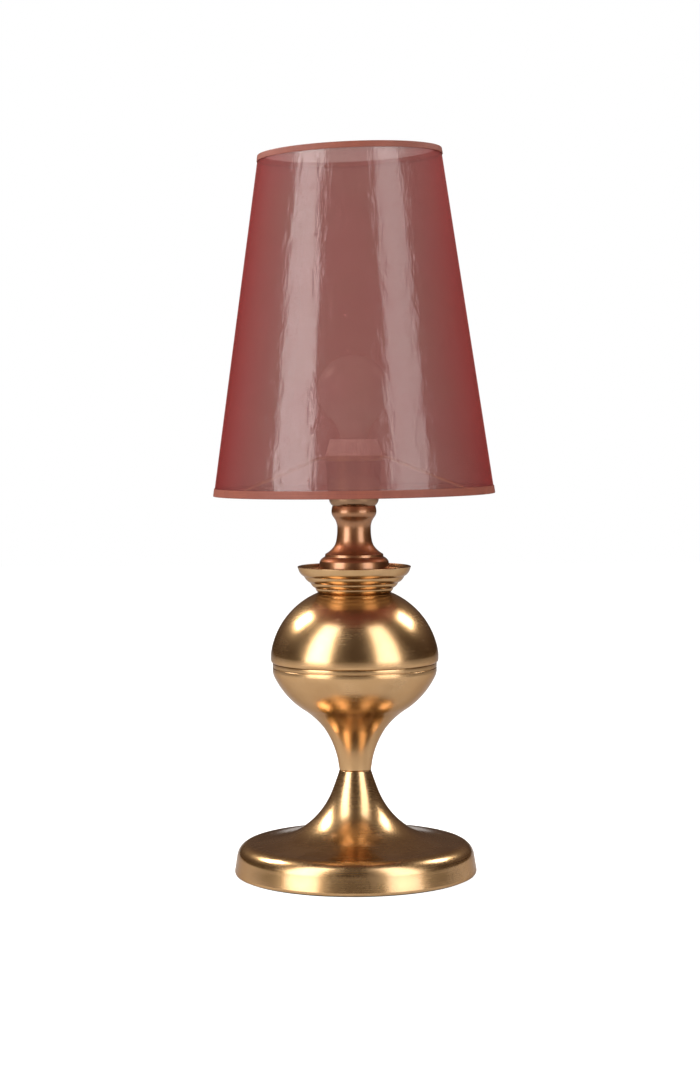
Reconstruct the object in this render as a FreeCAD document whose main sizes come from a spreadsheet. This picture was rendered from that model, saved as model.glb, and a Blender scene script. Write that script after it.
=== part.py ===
import FreeCAD, Part
import math
import os
import Sketcher
from FreeCAD import Placement, Rotation, Vector

# Table lamp with a turned metal body and a tall tapered shade.
# Millimetres and degrees. +Z is up, +Y is the back, the origin is on the floor under the axis.

# Driving sizes: name, value, what it is. Every other length is worked out from these.
driving_sizes = [
    ("pad_inset", 2.6, "edge of the felt pad inside the base's widest radius"),
    ("pad_thickness", 1.2, "felt thickness"),
    ("base_radius", 75.8, "widest radius of the base"),
    ("base_height", 65.3, "floor to the top of the base cone"),
    ("base_wall", 1.2, "spun sheet of the base"),
    ("base_lift", 0.8, "floor to the metal edge"),
    ("base_lip", 1.8, "height of the rolled edge"),
    ("base_tuck", 0.6, "how far the rolled edge turns in"),
    ("base_draft", 1.4, "how far the side leans in"),
    ("base_side_height", 11.5, "floor to the start of the shoulder"),
    ("base_shoulder_width", 8.4, "width of the rounded shoulder"),
    ("base_shoulder_height", 20.1, "floor to the top of the shoulder"),
    ("flare_radius", 42, "outer radius of the lower flare"),
    ("flare_height", 24.6, "floor to the lower flare"),
    ("cone_radius", 30, "foot radius of the trumpet cone"),
    ("cone_height", 31.2, "floor to the foot of the trumpet cone"),
    ("cone_waist_radius", 14.2, "radius where the cone turns nearly straight"),
    ("cone_waist_height", 53.2, "floor to that place"),
    ("base_neck_radius", 9.9, "top radius of the cone"),
    ("weight_inset", 8.3, "edge of the iron ballast inside the base's widest radius"),
    ("weight_height", 17.6, "ballast thickness"),
    ("weight_chamfer", 2.5, "bevel round the top of the ballast"),
    ("weight_recess_radius", 15, "recess for the nut"),
    ("weight_recess_depth", 7.2, "depth of that recess"),
    ("cord_way_width", 9, "slot for the lead in the ballast"),
    ("cord_way_height", 10.2, "height of that slot"),
    ("cord_bore_radius", 3.2, "lead hole in the rear bushing"),
    ("bushing_radius", 4.4, "bushing barrel"),
    ("bushing_flange_radius", 6.2, "bushing flange"),
    ("bushing_flange", 1.6, "flange thickness"),
    ("bushing_length", 6.4, "barrel behind the flange"),
    ("bushing_height", 8.2, "floor to the bushing axis"),
    ("tube_radius", 4.9, "outside of the threaded tube"),
    ("tube_bore_radius", 3.8, "bore of the threaded tube"),
    ("tube_clearance", 0.3, "room round the tube in each turned piece"),
    ("tube_tail", 1.2, "tube below the nut"),
    ("nut_flats", 14, "across flats of the nut"),
    ("nut_thickness", 3, "nut thickness"),
    ("washer_radius", 11, "flat washer"),
    ("washer_thickness", 1.2, "flat washer thickness"),
    ("spring_washer_radius", 8.2, "split washer"),
    ("spring_washer_thickness", 1.4, "split washer thickness"),
    ("spring_washer_gap", 1.6, "gap of the split washer"),
    ("vase_wall", 1.2, "spun sheet of the vase halves"),
    ("vase_foot_radius", 10.1, "radius at the foot of the lower vase"),
    ("vase_foot_edge", 1.3, "height of the rounded foot edge"),
    ("vase_foot_tuck", 0.5, "how far that edge turns in"),
    ("stem_radius", 10.8, "radius of the stem"),
    ("stem_height", 6, "foot to the stem"),
    ("swell_radius", 19.2, "radius of the lower swell"),
    ("swell_height", 26.2, "foot to the lower swell"),
    ("turn_radius", 33.5, "radius where the curve turns over"),
    ("turn_height", 39.2, "foot to that place"),
    ("bowl_radius", 50, "radius just under the belt"),
    ("bowl_height", 58.3, "foot to that place"),
    ("belt_radius", 51.3, "radius of the belt"),
    ("belt_start", 62.5, "foot to the lower edge of the belt"),
    ("vase_height", 67.7, "foot to the seam of the vase"),
    ("scribe_height", 65, "foot to the scribed line"),
    ("scribe_radius", 0.5, "radius of the scribing tool"),
    ("scribe_standoff", 0.2, "tool centre outside the belt"),
    ("spigot_step", 1.6, "inward step of the spigot"),
    ("spigot_height", 3.4, "spigot above the seam"),
    ("ball_radius", 52.4, "widest radius of the upper vase"),
    ("ball_edge", 2.2, "height of the rounded lower edge"),
    ("ball_edge_tuck", 1.2, "how far that edge turns in"),
    ("ball_belly_height", 5, "seam to the widest place"),
    ("ball_side_radius", 51.3, "radius above the belly"),
    ("ball_side_height", 11.3, "seam to that place"),
    ("ball_top_radius", 24, "radius of the flat top"),
    ("ball_height", 43.2, "seam to the flat top"),
    ("pan_wall", 1, "spun sheet of the drip pan"),
    ("pan_foot_radius", 22.6, "foot of the drip pan"),
    ("pan_foot_height", 0.6, "height of the foot edge"),
    ("pan_step_radius", 34.9, "radius over the last rolled step"),
    ("pan_step_height", 15.1, "foot to the last rolled step"),
    ("pan_tread", 0.8, "ledge between two steps"),
    ("pan_rise", 0.4, "rise of that ledge"),
    ("pan_radius", 35.5, "rim of the drip pan"),
    ("pan_height", 16.8, "foot to the rim"),
    ("neck_height", 53.6, "pan floor to the top of the neck"),
    ("neck_foot_radius", 20.2, "column under the foot bead"),
    ("neck_foot_height", 9.5, "floor to the foot bead"),
    ("neck_bead_radius", 22, "foot bead"),
    ("neck_bead_height", 15, "floor to the widest place of the bead"),
    ("neck_brow_radius", 21.4, "upper edge of the bead"),
    ("neck_brow_height", 19.2, "floor to that edge"),
    ("neck_ledge_radius", 18.3, "ledge above the bead"),
    ("neck_ledge_height", 21.9, "floor to the ledge"),
    ("neck_ledge_band", 1.7, "height of the ledge band"),
    ("neck_ledge_tuck", 0.25, "how far the band leans in"),
    ("neck_cove_radius", 12.1, "radius inside the lower cove"),
    ("neck_cove_height", 29.1, "floor to that place"),
    ("neck_shaft_radius", 11, "lower end of the shaft"),
    ("neck_shaft_height", 32.8, "floor to that place"),
    ("neck_waist_radius", 10.45, "narrowest radius"),
    ("neck_waist_height", 39.6, "floor to the waist"),
    ("neck_collar_radius", 12.9, "under the top bead"),
    ("neck_collar_height", 46.7, "floor to the top bead"),
    ("neck_barrel_radius", 14, "top bead"),
    ("neck_barrel_height", 49.6, "floor to its widest place"),
    ("neck_top_radius", 13.4, "top face of the neck"),
    ("neck_hollow_radius", 16.5, "hollow in the foot"),
    ("neck_hollow_top_radius", 12.4, "upper end of that hollow"),
    ("neck_hollow_depth", 14, "depth of that hollow"),
    ("cup_wall", 0.9, "spun sheet of the socket cup"),
    ("cup_floor_radius", 13.3, "floor of the socket cup"),
    ("cup_heel_radius", 15.3, "radius over the rounded heel"),
    ("cup_heel_height", 3, "height of the rounded heel"),
    ("cup_radius", 17.5, "mouth of the socket cup"),
    ("cup_height", 28, "floor to the mouth"),
    ("holder_cap_radius", 13.1, "cap of the lampholder"),
    ("holder_cap_foot", 11.8, "foot radius of the cap"),
    ("holder_cap_height", 14, "height of the cap"),
    ("holder_cap_bevel", 3, "height of the foot bevel"),
    ("holder_floor", 6, "threaded entry of the cap"),
    ("holder_wall", 1.3, "moulded wall of the lampholder"),
    ("holder_gap", 0.15, "fit between the lampholder pieces"),
    ("insert_height", 8, "contact block"),
    ("terminal_width", 5, "pocket for a terminal"),
    ("terminal_depth", 3.4, "depth of that pocket"),
    ("screw_radius", 1.3, "terminal screw shank"),
    ("screw_head_radius", 2, "terminal screw head"),
    ("screw_head", 1.2, "terminal screw head thickness"),
    ("screw_length", 4.5, "terminal screw shank length"),
    ("screw_spread", 7.6, "axis to a terminal screw"),
    ("screw_tip_gap", 0.5, "room past a screw's tip"),
    ("rivet_radius", 1, "rivet hole in the contact block"),
    ("leaf_thickness", 0.5, "contact spring sheet"),
    ("leaf_width", 4, "contact spring width"),
    ("leaf_rise", 0.5, "rise of the centre contact"),
    ("leaf_ramp", 1, "length of that rise"),
    ("leaf_tip", 3.2, "half length of its raised stretch"),
    ("leaf_heel", 8.4, "axis to its far end"),
    ("leaf_foot", 2.4, "foot of the side contact"),
    ("side_leaf_height", 7, "side contact above the block"),
    ("contact_gap", 0.05, "room at the contacts"),
    ("sleeve_lap", 4, "sleeve over the cap"),
    ("sleeve_radius", 13.4, "threaded part of the sleeve"),
    ("sleeve_height", 13.6, "sleeve above its flange"),
    ("flange_thickness", 2.6, "flange of the sleeve"),
    ("flange_gap", 0.5, "room between flange and cup"),
    ("bulb_bore_radius", 7.2, "bore for the bulb cap"),
    ("bulb_entry_radius", 9.2, "wider entry for the skirt of the cap"),
    ("bulb_entry", 6.4, "depth of that entry"),
    ("sleeve_web", 7.2, "block top to the bore"),
    ("ring_radius", 18, "lower edge of the shade ring"),
    ("ring_top_radius", 14.7, "upper edge of the shade ring"),
    ("ring_height", 12, "height of the shade ring"),
    ("ring_edge", 1, "cylindrical edge of the shade ring"),
    ("ring_wall", 1.3, "skirt wall of the shade ring"),
    ("ring_recess", 3, "depth of its hollow underside"),
    ("cap_radius", 6.95, "screw cap of the bulb"),
    ("cap_wall", 0.3, "sheet of the screw cap"),
    ("cap_height", 20, "length of the screw cap"),
    ("cap_skirt_radius", 8.2, "skirt of the screw cap"),
    ("cap_skirt", 3, "height of the skirt"),
    ("contact_radius", 2.4, "bulb foot contact"),
    ("contact_height", 1, "bulb foot contact height"),
    ("insulator_radius", 5, "glass insulator"),
    ("insulator_height", 2, "insulator height"),
    ("globe_radius", 22.5, "bulb globe"),
    ("globe_wall", 0.8, "glass wall"),
    ("globe_rise", 55.4, "foot contact to the globe centre"),
    ("globe_neck_angle", 54, "slope where the globe leaves its neck"),
    ("globe_crown", 2, "angle of the flat crown"),
    ("glass_lap", 1.3, "glass neck inside the skirt"),
    ("glass_neck", 3, "straight stretch of the glass neck"),
    ("mount_foot", 0.8, "edge of the glass mount's foot"),
    ("mount_ledge_radius", 2.9, "ledge of the glass mount"),
    ("mount_ledge_height", 9.9, "foot to that ledge"),
    ("mount_height", 22, "height of the glass mount"),
    ("mount_rod_radius", 1.6, "rod of the glass mount"),
    ("lead_radius", 0.4, "lead wires in the bulb"),
    ("lead_spread", 7.5, "half distance of the filament ends"),
    ("lead_start", 3, "where the wires spread, under the rod top"),
    ("lead_knee", 4.8, "where they turn upright, over the rod top"),
    ("lead_flare", 0.2, "how far they still lean out there"),
    ("lead_height", 12, "lead wires above the rod top"),
    ("filament_radius", 0.3, "filament coil"),
    ("shade_lean", 0.5, "lean of the shade to the left"),
    ("rim_tilt", 1.7, "further tilt of the top rim"),
    ("fitter_room", 0.06, "play at the fitter seat"),
    ("fitter_bore_gap", 0.35, "fitter bore round the sleeve"),
    ("fitter_sheet", 1, "sheet of the fitter"),
    ("fitter_radius", 19.6, "outer radius of the fitter"),
    ("fitter_lip", 3.2, "height of the turned up lip"),
    ("arm_radius", 1.1, "arm wire"),
    ("arm_reach", 3, "level stretch of an arm"),
    ("arm_bend", 9, "bend radius of an arm"),
    ("arm_count", 3, "number of arms"),
    ("shade_radius", 87.8, "bottom radius of the shade"),
    ("shade_top_radius", 57.1, "top radius of the shade"),
    ("shade_drop", 21.1, "fitter seat to the lower edge"),
    ("shade_rise", 190.6, "fitter seat to the upper edge"),
    ("film_thickness", 0.5, "shade film"),
    ("hem_thickness", 0.4, "folded binding"),
    ("hem_gap", 0.05, "glue line under the binding"),
    ("lower_hem", 4.8, "height of the lower binding"),
    ("upper_hem", 3.8, "height of the upper binding"),
    ("rim_wire_radius", 1.2, "wire in each rim"),
    ("notch_gap", 0.4, "room beside an arm in the lower binding"),
    ("overrun", 1, "how far a cut runs past a face"),
]

# Shapes of the curved stretches: the sagitta of each arc as a share of half its chord.
lip_share = 0.2
shoulder_share = 0.36
flare_share = 0.057
cone_foot_share = 0.092
cone_share = 0.136
cone_top_share = 0.015
swell_share = 0.099
turn_share = 0.092
bowl_share = 0.125
corner_share = 0.096
belly_share = 0.05
ball_share = 0.226
ball_edge_share = 0.29
bead_share = 0.18
cove_share = 0.14
cove_top_share = 0.084
shaft_share = 0.05
collar_share = 0.176
heel_share = 0.14
cup_share = 0.03
round_share = 0.41
contact_share = 0.16
neck_glass_share = 0.12
mount_share = 0.3
lead_share = 0.2
lead_top_share = 0.1
filament_share = 0.35

# Other proportions.
pan_step_radius_shares = (0.15, 0.39, 0.71, 1)
pan_step_height_shares = (0.2, 0.42, 0.7, 1)
inner_hem_share = 0.8
nut_sides = 6
nut_turn_share = 0.25
right_angle = 90

document = FreeCAD.newDocument("table_lamp")
sheet = document.addObject("Spreadsheet::Sheet", "sizes")


class Size:
    # A number together with the formula that the document keeps for it.
    def __init__(self, value, formula):
        self.value = value
        self.formula = formula

    def __add__(self, other):
        return Size(self.value + number(other), f"({self.formula} + {words(other)})")

    def __radd__(self, other):
        return Size(number(other) + self.value, f"({words(other)} + {self.formula})")

    def __sub__(self, other):
        return Size(self.value - number(other), f"({self.formula} - {words(other)})")

    def __rsub__(self, other):
        return Size(number(other) - self.value, f"({words(other)} - {self.formula})")

    def __mul__(self, other):
        return Size(self.value * number(other), f"({self.formula} * {words(other)})")

    def __rmul__(self, other):
        return Size(number(other) * self.value, f"({words(other)} * {self.formula})")

    def __truediv__(self, other):
        return Size(self.value / number(other), f"({self.formula} / {words(other)})")

    def __neg__(self):
        return Size(-self.value, f"(0 - {self.formula})")


def number(item):
    return item.value if isinstance(item, Size) else item


def words(item):
    return item.formula if isinstance(item, Size) else f"({item:.9g})"


def root(item):
    return Size(math.sqrt(number(item)), f"sqrt({words(item)})")


def sine(angle):
    return Size(math.sin(math.radians(number(angle))), f"sin({words(angle)})")


def cosine(angle):
    return Size(math.cos(math.radians(number(angle))), f"cos({words(angle)})")


class Sizes:
    # The driving sizes by name.
    pass


def fill_sheet():
    table = Sizes()
    for row, (name, value, note) in enumerate(driving_sizes, start=1):
        sheet.set(f"A{row}", name)
        sheet.set(f"B{row}", str(value))
        sheet.set(f"C{row}", note)
        sheet.setAlias(f"B{row}", name)
        setattr(table, name, Size(value, f"sizes.{name}"))
    document.recompute()
    return table


s = fill_sheet()


def bind(item, path, size):
    # Sets a property to a size and keeps its formula.
    item.setExpression(path, words(size))


def plane(body, role):
    return [item for item in body.Origin.OriginFeatures if item.Role == role][0]


def new_body(label, rise=0):
    # A body whose own floor lies at the given height on the axis.
    body = document.addObject("PartDesign::Body", label)
    body.Label = label
    body.Placement = Placement(Vector(0, 0, number(rise)), Rotation())
    bind(body, "Placement.Base.z", rise)
    return body


def blank_sketch(body, name, role, lift=0):
    # An empty sketch on one of the body's own planes, raised along the plane's normal.
    sketch = body.newObject("Sketcher::SketchObject", name)
    sketch.AttachmentSupport = [(plane(body, role), "")]
    sketch.MapMode = "FlatFace"
    sketch.AttachmentOffset = Placement(Vector(0, 0, number(lift)), Rotation())
    bind(sketch, "AttachmentOffset.Base.z", lift)
    return sketch


def hold_point(sketch, geometry, position, x, y):
    # Ties one point of a sketch to two sizes.
    for kind, axis, size in (("DistanceX", -2, x), ("DistanceY", -1, y)):
        if isinstance(size, Size):
            index = sketch.addConstraint(
                Sketcher.Constraint(kind, -1, 1, geometry, position, size.value))
            sketch.setExpression(f"Constraints[{index}]", size.formula)
        else:
            sketch.addConstraint(Sketcher.Constraint("PointOnObject", geometry, position, axis))


def draw_circle(sketch, x, y, radius):
    circle = Part.Circle(Vector(number(x), number(y), 0), Vector(0, 0, 1), number(radius))
    geometry = sketch.addGeometry(circle)
    hold_point(sketch, geometry, 3, x, y)
    index = sketch.addConstraint(Sketcher.Constraint("Radius", geometry, number(radius)))
    sketch.setExpression(f"Constraints[{index}]", words(radius))


def bulge_of(corner):
    return corner[2] if len(corner) > 2 else 0


def arc_between(start, end, bulge):
    # The arc bends to the right of its direction where the bulge is positive, else to the left.
    chord = end - start
    right = Vector(chord.y, -chord.x, 0).normalize()
    radius = chord.Length * (1 + bulge * bulge) / (4 * abs(bulge))
    offset = chord.Length * (bulge * bulge - 1) / (4 * bulge)
    centre = (start + end) * 0.5 + right * offset
    first, last = (start, end) if bulge > 0 else (end, start)
    begin = math.atan2(first.y - centre.y, first.x - centre.x)
    finish = math.atan2(last.y - centre.y, last.x - centre.x)
    if finish < begin:
        finish += 2 * math.pi
    return Part.ArcOfCircle(Part.Circle(centre, Vector(0, 0, 1), radius), begin, finish)


def draw_outline(sketch, corners, closed=True):
    # Corners are (x, y) or (x, y, bulge). A bulge bends the edge that follows the corner to the
    # right of its direction: it is the sagitta as a share of half the chord.
    count = len(corners)
    edges = count if closed else count - 1
    points = [Vector(number(corner[0]), number(corner[1]), 0) for corner in corners]
    first = sketch.GeometryCount
    ends = []
    for index in range(edges):
        start = points[index]
        end = points[(index + 1) % count]
        bulge = bulge_of(corners[index])
        if bulge:
            sketch.addGeometry(arc_between(start, end, bulge))
        else:
            sketch.addGeometry(Part.LineSegment(start, end))
        ends.append((2, 1) if bulge < 0 else (1, 2))
    for index in range(edges):
        following = (index + 1) % count
        if following < edges:
            sketch.addConstraint(Sketcher.Constraint(
                "Coincident", first + index, ends[index][1], first + following, ends[following][0]))
    for index in range(count):
        if index < edges:
            hold_point(sketch, first + index, ends[index][0], corners[index][0], corners[index][1])
        else:
            hold_point(sketch, first + edges - 1, ends[-1][1], corners[index][0], corners[index][1])
    for index in range(edges):
        bulge = bulge_of(corners[index])
        if bulge:
            after = corners[(index + 1) % count]
            along = after[0] - corners[index][0]
            up = after[1] - corners[index][1]
            share = (1 + bulge * bulge) / (4 * abs(bulge))
            radius = root(along * along + up * up) * share
            place = sketch.addConstraint(Sketcher.Constraint("Radius", first + index, radius.value))
            sketch.setExpression(f"Constraints[{place}]", radius.formula)


def edge_directions(start, end):
    # The directions in which an edge leaves its first corner and reaches its second.
    along = number(end[0]) - number(start[0])
    up = number(end[1]) - number(start[1])
    slope = math.atan2(up, along)
    half_turn = 2 * math.atan(bulge_of(start))
    return slope - half_turn, slope + half_turn


def walled(corners, wall):
    # Turns an open outline into the closed section of a sheet that lies to its left.
    count = len(corners)
    directions = [edge_directions(corners[k], corners[k + 1]) for k in range(count - 1)]
    inner = []
    for index in range(count):
        before = directions[index - 1][1] if index > 0 else directions[0][0]
        after = directions[index][0] if index < count - 1 else directions[-1][1]
        across = -math.sin(before) - math.sin(after)
        up = math.cos(before) + math.cos(after)
        reach = 1 + math.cos(before - after)
        x = corners[index][0]
        if isinstance(x, Size):
            x = x + wall * (across / reach)
        inner.append((x, corners[index][1] + wall * (up / reach)))
    section = [tuple(corner) for corner in corners[:-1]]
    section.append((corners[-1][0], corners[-1][1]))
    for index in range(count - 1, 0, -1):
        bulge = -bulge_of(corners[index - 1])
        section.append((inner[index][0], inner[index][1], bulge))
    section.append(inner[0])
    return section


def revolve(body, name, corners):
    sketch = blank_sketch(body, name + "_outline", "XZ_Plane")
    draw_outline(sketch, corners)
    feature = body.newObject("PartDesign::Revolution", name + "_turned")
    feature.Profile = sketch
    feature.ReferenceAxis = (sketch, ["V_Axis"])
    feature.Angle = 360
    return feature


def turned(label, corners, rise=0):
    # A piece turned about the lamp's axis.
    body = new_body(label, rise)
    revolve(body, label, corners)
    return body


def turned_wire(label, x, y, radius):
    # A wire ring about the lamp's axis.
    body = new_body(label)
    sketch = blank_sketch(body, label + "_section", "XZ_Plane")
    draw_circle(sketch, x, y, radius)
    feature = body.newObject("PartDesign::Revolution", label + "_ring")
    feature.Profile = sketch
    feature.ReferenceAxis = (sketch, ["V_Axis"])
    feature.Angle = 360
    return body


def pad(body, name, sketch, length, both_ways=False):
    feature = body.newObject("PartDesign::Pad", name)
    feature.Profile = sketch
    feature.Length = number(length)
    bind(feature, "Length", length)
    feature.Midplane = both_ways
    return feature


def pocket(body, name, sketch, length, backwards=False):
    # Cuts along the sketch's normal, away from the side that a pad would grow to.
    before = volume_of(body)
    feature = body.newObject("PartDesign::Pocket", name)
    feature.Profile = sketch
    feature.Length = number(length)
    bind(feature, "Length", length)
    feature.Reversed = backwards
    document.recompute()
    if volume_of(body) >= before:
        raise RuntimeError(name + " cuts nothing")
    return feature


def volume_of(body):
    document.recompute()
    return body.Shape.Volume


def around(body, name, feature, count):
    # Repeats a feature evenly about the lamp's axis.
    pattern = body.newObject("PartDesign::PolarPattern", name)
    pattern.Originals = [feature]
    pattern.Axis = (plane(body, "Z_Axis"), [""])
    pattern.Angle = 360
    pattern.Occurrences = int(number(count))
    body.Tip = pattern
    return pattern


tube_hole = s.tube_radius + s.tube_clearance


def base_outline():
    return [
        (s.base_radius - s.base_tuck, s.base_lift, lip_share),
        (s.base_radius, s.base_lift + s.base_lip),
        (s.base_radius - s.base_draft, s.base_side_height, shoulder_share),
        (s.base_radius - s.base_draft - s.base_shoulder_width, s.base_shoulder_height, -flare_share),
        (s.flare_radius, s.flare_height, -cone_foot_share),
        (s.cone_radius, s.cone_height, -cone_share),
        (s.cone_waist_radius, s.cone_waist_height, -cone_top_share),
        (s.base_neck_radius, s.base_height),
        (tube_hole, s.base_height),
    ]


def make_base_shell():
    body = turned("base_shell", walled(base_outline(), s.base_wall))
    hole = blank_sketch(body, "cord_hole_outline", "XZ_Plane", -s.base_radius - s.overrun)
    draw_circle(hole, 0, s.bushing_height, s.bushing_radius + s.holder_gap)
    pocket(body, "cord_hole", hole, s.base_radius / 2, True)


def make_base_pad():
    body = new_body("base_pad")
    sketch = blank_sketch(body, "pad_outline", "XY_Plane")
    draw_circle(sketch, 0, 0, s.base_radius - s.pad_inset)
    pad(body, "pad_disc", sketch, s.pad_thickness)


def make_base_weight():
    edge = s.base_radius - s.weight_inset
    body = turned("base_weight", [
        (s.weight_recess_radius, 0),
        (edge, 0),
        (edge, s.weight_height - s.weight_chamfer),
        (edge - s.weight_chamfer, s.weight_height),
        (tube_hole, s.weight_height),
        (tube_hole, s.weight_recess_depth),
        (s.weight_recess_radius, s.weight_recess_depth),
    ], s.pad_thickness)
    slot = blank_sketch(body, "cord_way_outline", "XY_Plane")
    half = s.cord_way_width / 2
    draw_outline(slot, [
        (-half, 0),
        (half, 0),
        (half, edge + s.overrun),
        (-half, edge + s.overrun),
    ])
    pocket(body, "cord_way", slot, s.cord_way_height, True)


def make_cord_bushing():
    body = new_body("cord_bushing", s.bushing_height)
    seat = s.base_radius + s.holder_gap
    body.Placement = Placement(Vector(0, seat.value, s.bushing_height.value),
                               Rotation(Vector(1, 0, 0), -right_angle))
    bind(body, "Placement.Base.y", seat)
    bind(body, "Placement.Base.z", s.bushing_height)
    revolve(body, "bushing", [
        (s.cord_bore_radius, -s.bushing_length),
        (s.bushing_radius, -s.bushing_length),
        (s.bushing_radius, 0),
        (s.bushing_flange_radius, 0, round_share),
        (s.bushing_radius, s.bushing_flange),
        (s.cord_bore_radius, s.bushing_flange),
    ])


recess_roof = s.pad_thickness + s.weight_recess_depth
washer_seat = recess_roof - s.washer_thickness
spring_seat = washer_seat - s.spring_washer_thickness
nut_seat = spring_seat - s.nut_thickness
tube_start = nut_seat - s.tube_tail
vase_seat = s.base_height
ball_seat = vase_seat + s.vase_height
pan_seat = ball_seat + s.ball_height
neck_seat = pan_seat + s.pan_wall
cup_seat = neck_seat + s.neck_height
holder_seat = cup_seat + s.cup_wall
cup_mouth = cup_seat + s.cup_height


def make_fasteners():
    turned("bottom_washer", [
        (tube_hole, 0),
        (s.washer_radius, 0),
        (s.washer_radius, s.washer_thickness),
        (tube_hole, s.washer_thickness),
    ], washer_seat)
    split = turned("spring_washer", [
        (tube_hole, 0),
        (s.spring_washer_radius, 0),
        (s.spring_washer_radius, s.spring_washer_thickness),
        (tube_hole, s.spring_washer_thickness),
    ], spring_seat)
    gap = blank_sketch(split, "split_outline", "XY_Plane")
    half = s.spring_washer_gap / 2
    draw_outline(gap, [
        (0, -half),
        (s.spring_washer_radius + s.overrun, -half),
        (s.spring_washer_radius + s.overrun, half),
        (0, half),
    ])
    pocket(split, "split", gap, s.spring_washer_thickness, True)
    nut = new_body("bottom_nut", nut_seat)
    hexagon = blank_sketch(nut, "nut_outline", "XY_Plane")
    reach = s.nut_flats / (2 * math.cos(math.pi / nut_sides))
    corners = []
    for index in range(nut_sides):
        turn = math.tau * (index + nut_turn_share) / nut_sides
        corners.append((reach * math.cos(turn), reach * math.sin(turn)))
    draw_outline(hexagon, corners)
    draw_circle(hexagon, 0, 0, s.tube_radius + s.contact_gap)
    pad(nut, "nut_body", hexagon, s.nut_thickness)
    turned("threaded_tube", [
        (s.tube_bore_radius, 0),
        (s.tube_radius, 0),
        (s.tube_radius, holder_seat + s.holder_floor - tube_start),
        (s.tube_bore_radius, holder_seat + s.holder_floor - tube_start),
    ], tube_start)


def make_lower_vase():
    spigot = s.belt_radius - s.spigot_step
    body = turned("lower_vase", walled([
        (tube_hole, 0),
        (s.vase_foot_radius - s.vase_foot_tuck, 0, lip_share),
        (s.vase_foot_radius, s.vase_foot_edge),
        (s.stem_radius, s.stem_height, -swell_share),
        (s.swell_radius, s.swell_height, -turn_share),
        (s.turn_radius, s.turn_height, bowl_share),
        (s.bowl_radius, s.bowl_height, corner_share),
        (s.belt_radius, s.belt_start),
        (s.belt_radius, s.vase_height),
        (spigot, s.vase_height),
        (spigot, s.vase_height + s.spigot_height),
    ], s.vase_wall), vase_seat)
    before = volume_of(body)
    line = blank_sketch(body, "scribe_section", "XZ_Plane")
    draw_circle(line, s.belt_radius + s.scribe_standoff, s.scribe_height, s.scribe_radius)
    groove = body.newObject("PartDesign::Groove", "scribe")
    groove.Profile = line
    groove.ReferenceAxis = (line, ["V_Axis"])
    groove.Angle = 360
    if volume_of(body) >= before:
        raise RuntimeError("scribe cuts nothing")


def make_upper_vase():
    turned("upper_vase", walled([
        (s.ball_radius - s.ball_edge_tuck, 0, ball_edge_share),
        (s.ball_radius, s.ball_edge),
        (s.ball_radius, s.ball_belly_height, belly_share),
        (s.ball_side_radius, s.ball_side_height, ball_share),
        (s.ball_top_radius, s.ball_height),
        (tube_hole, s.ball_height),
    ], s.vase_wall), ball_seat)


def make_drip_pan():
    corners = [(tube_hole, 0), (s.pan_foot_radius - s.pan_foot_height, 0)]
    radius = s.pan_foot_radius
    height = s.pan_foot_height
    out = s.pan_step_radius - s.pan_foot_radius
    up = s.pan_step_height - s.pan_foot_height
    for out_share, up_share in zip(pan_step_radius_shares, pan_step_height_shares):
        corners.append((radius, height, bead_share))
        radius = s.pan_foot_radius + out * out_share
        height = s.pan_foot_height + up * up_share
        corners.append((radius, height))
        radius = radius + s.pan_tread
        height = height + s.pan_rise
    corners.append((s.pan_radius, s.pan_height))
    turned("drip_pan", walled(corners, s.pan_wall), pan_seat)


def make_neck():
    turned("neck", [
        (s.neck_hollow_radius, 0),
        (s.neck_foot_radius, 0),
        (s.neck_foot_radius, s.neck_foot_height, bead_share),
        (s.neck_bead_radius, s.neck_bead_height, belly_share),
        (s.neck_brow_radius, s.neck_brow_height, bead_share),
        (s.neck_ledge_radius, s.neck_ledge_height),
        (s.neck_ledge_radius - s.neck_ledge_tuck,
         s.neck_ledge_height + s.neck_ledge_band, -cove_share),
        (s.neck_cove_radius, s.neck_cove_height, -cove_top_share),
        (s.neck_shaft_radius, s.neck_shaft_height, -shaft_share),
        (s.neck_waist_radius, s.neck_waist_height, -collar_share),
        (s.neck_collar_radius, s.neck_collar_height, cove_share),
        (s.neck_barrel_radius, s.neck_barrel_height, corner_share),
        (s.neck_top_radius, s.neck_height),
        (tube_hole, s.neck_height),
        (tube_hole, s.neck_hollow_depth),
        (s.neck_hollow_top_radius, s.neck_hollow_depth),
    ], neck_seat)


def make_socket_cup():
    turned("socket_cup", walled([
        (tube_hole, 0),
        (s.cup_floor_radius, 0, heel_share),
        (s.cup_heel_radius, s.cup_heel_height, cup_share),
        (s.cup_radius, s.cup_height),
    ], s.cup_wall), cup_seat)


# The contact block stands on the cap's floor, and the bulb on the centre contact.
block_radius = s.holder_cap_radius - s.holder_wall - s.holder_gap
block_seat = holder_seat + s.holder_floor
block_top = block_seat + s.insert_height
bulb_seat = block_top + s.leaf_thickness + s.leaf_rise + s.contact_gap
flange_top = cup_mouth
lip_swing = s.fitter_radius * sine(s.shade_lean) + s.fitter_room
fitter_seat = flange_top + lip_swing
ring_seat = fitter_seat + s.fitter_sheet + lip_swing


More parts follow.
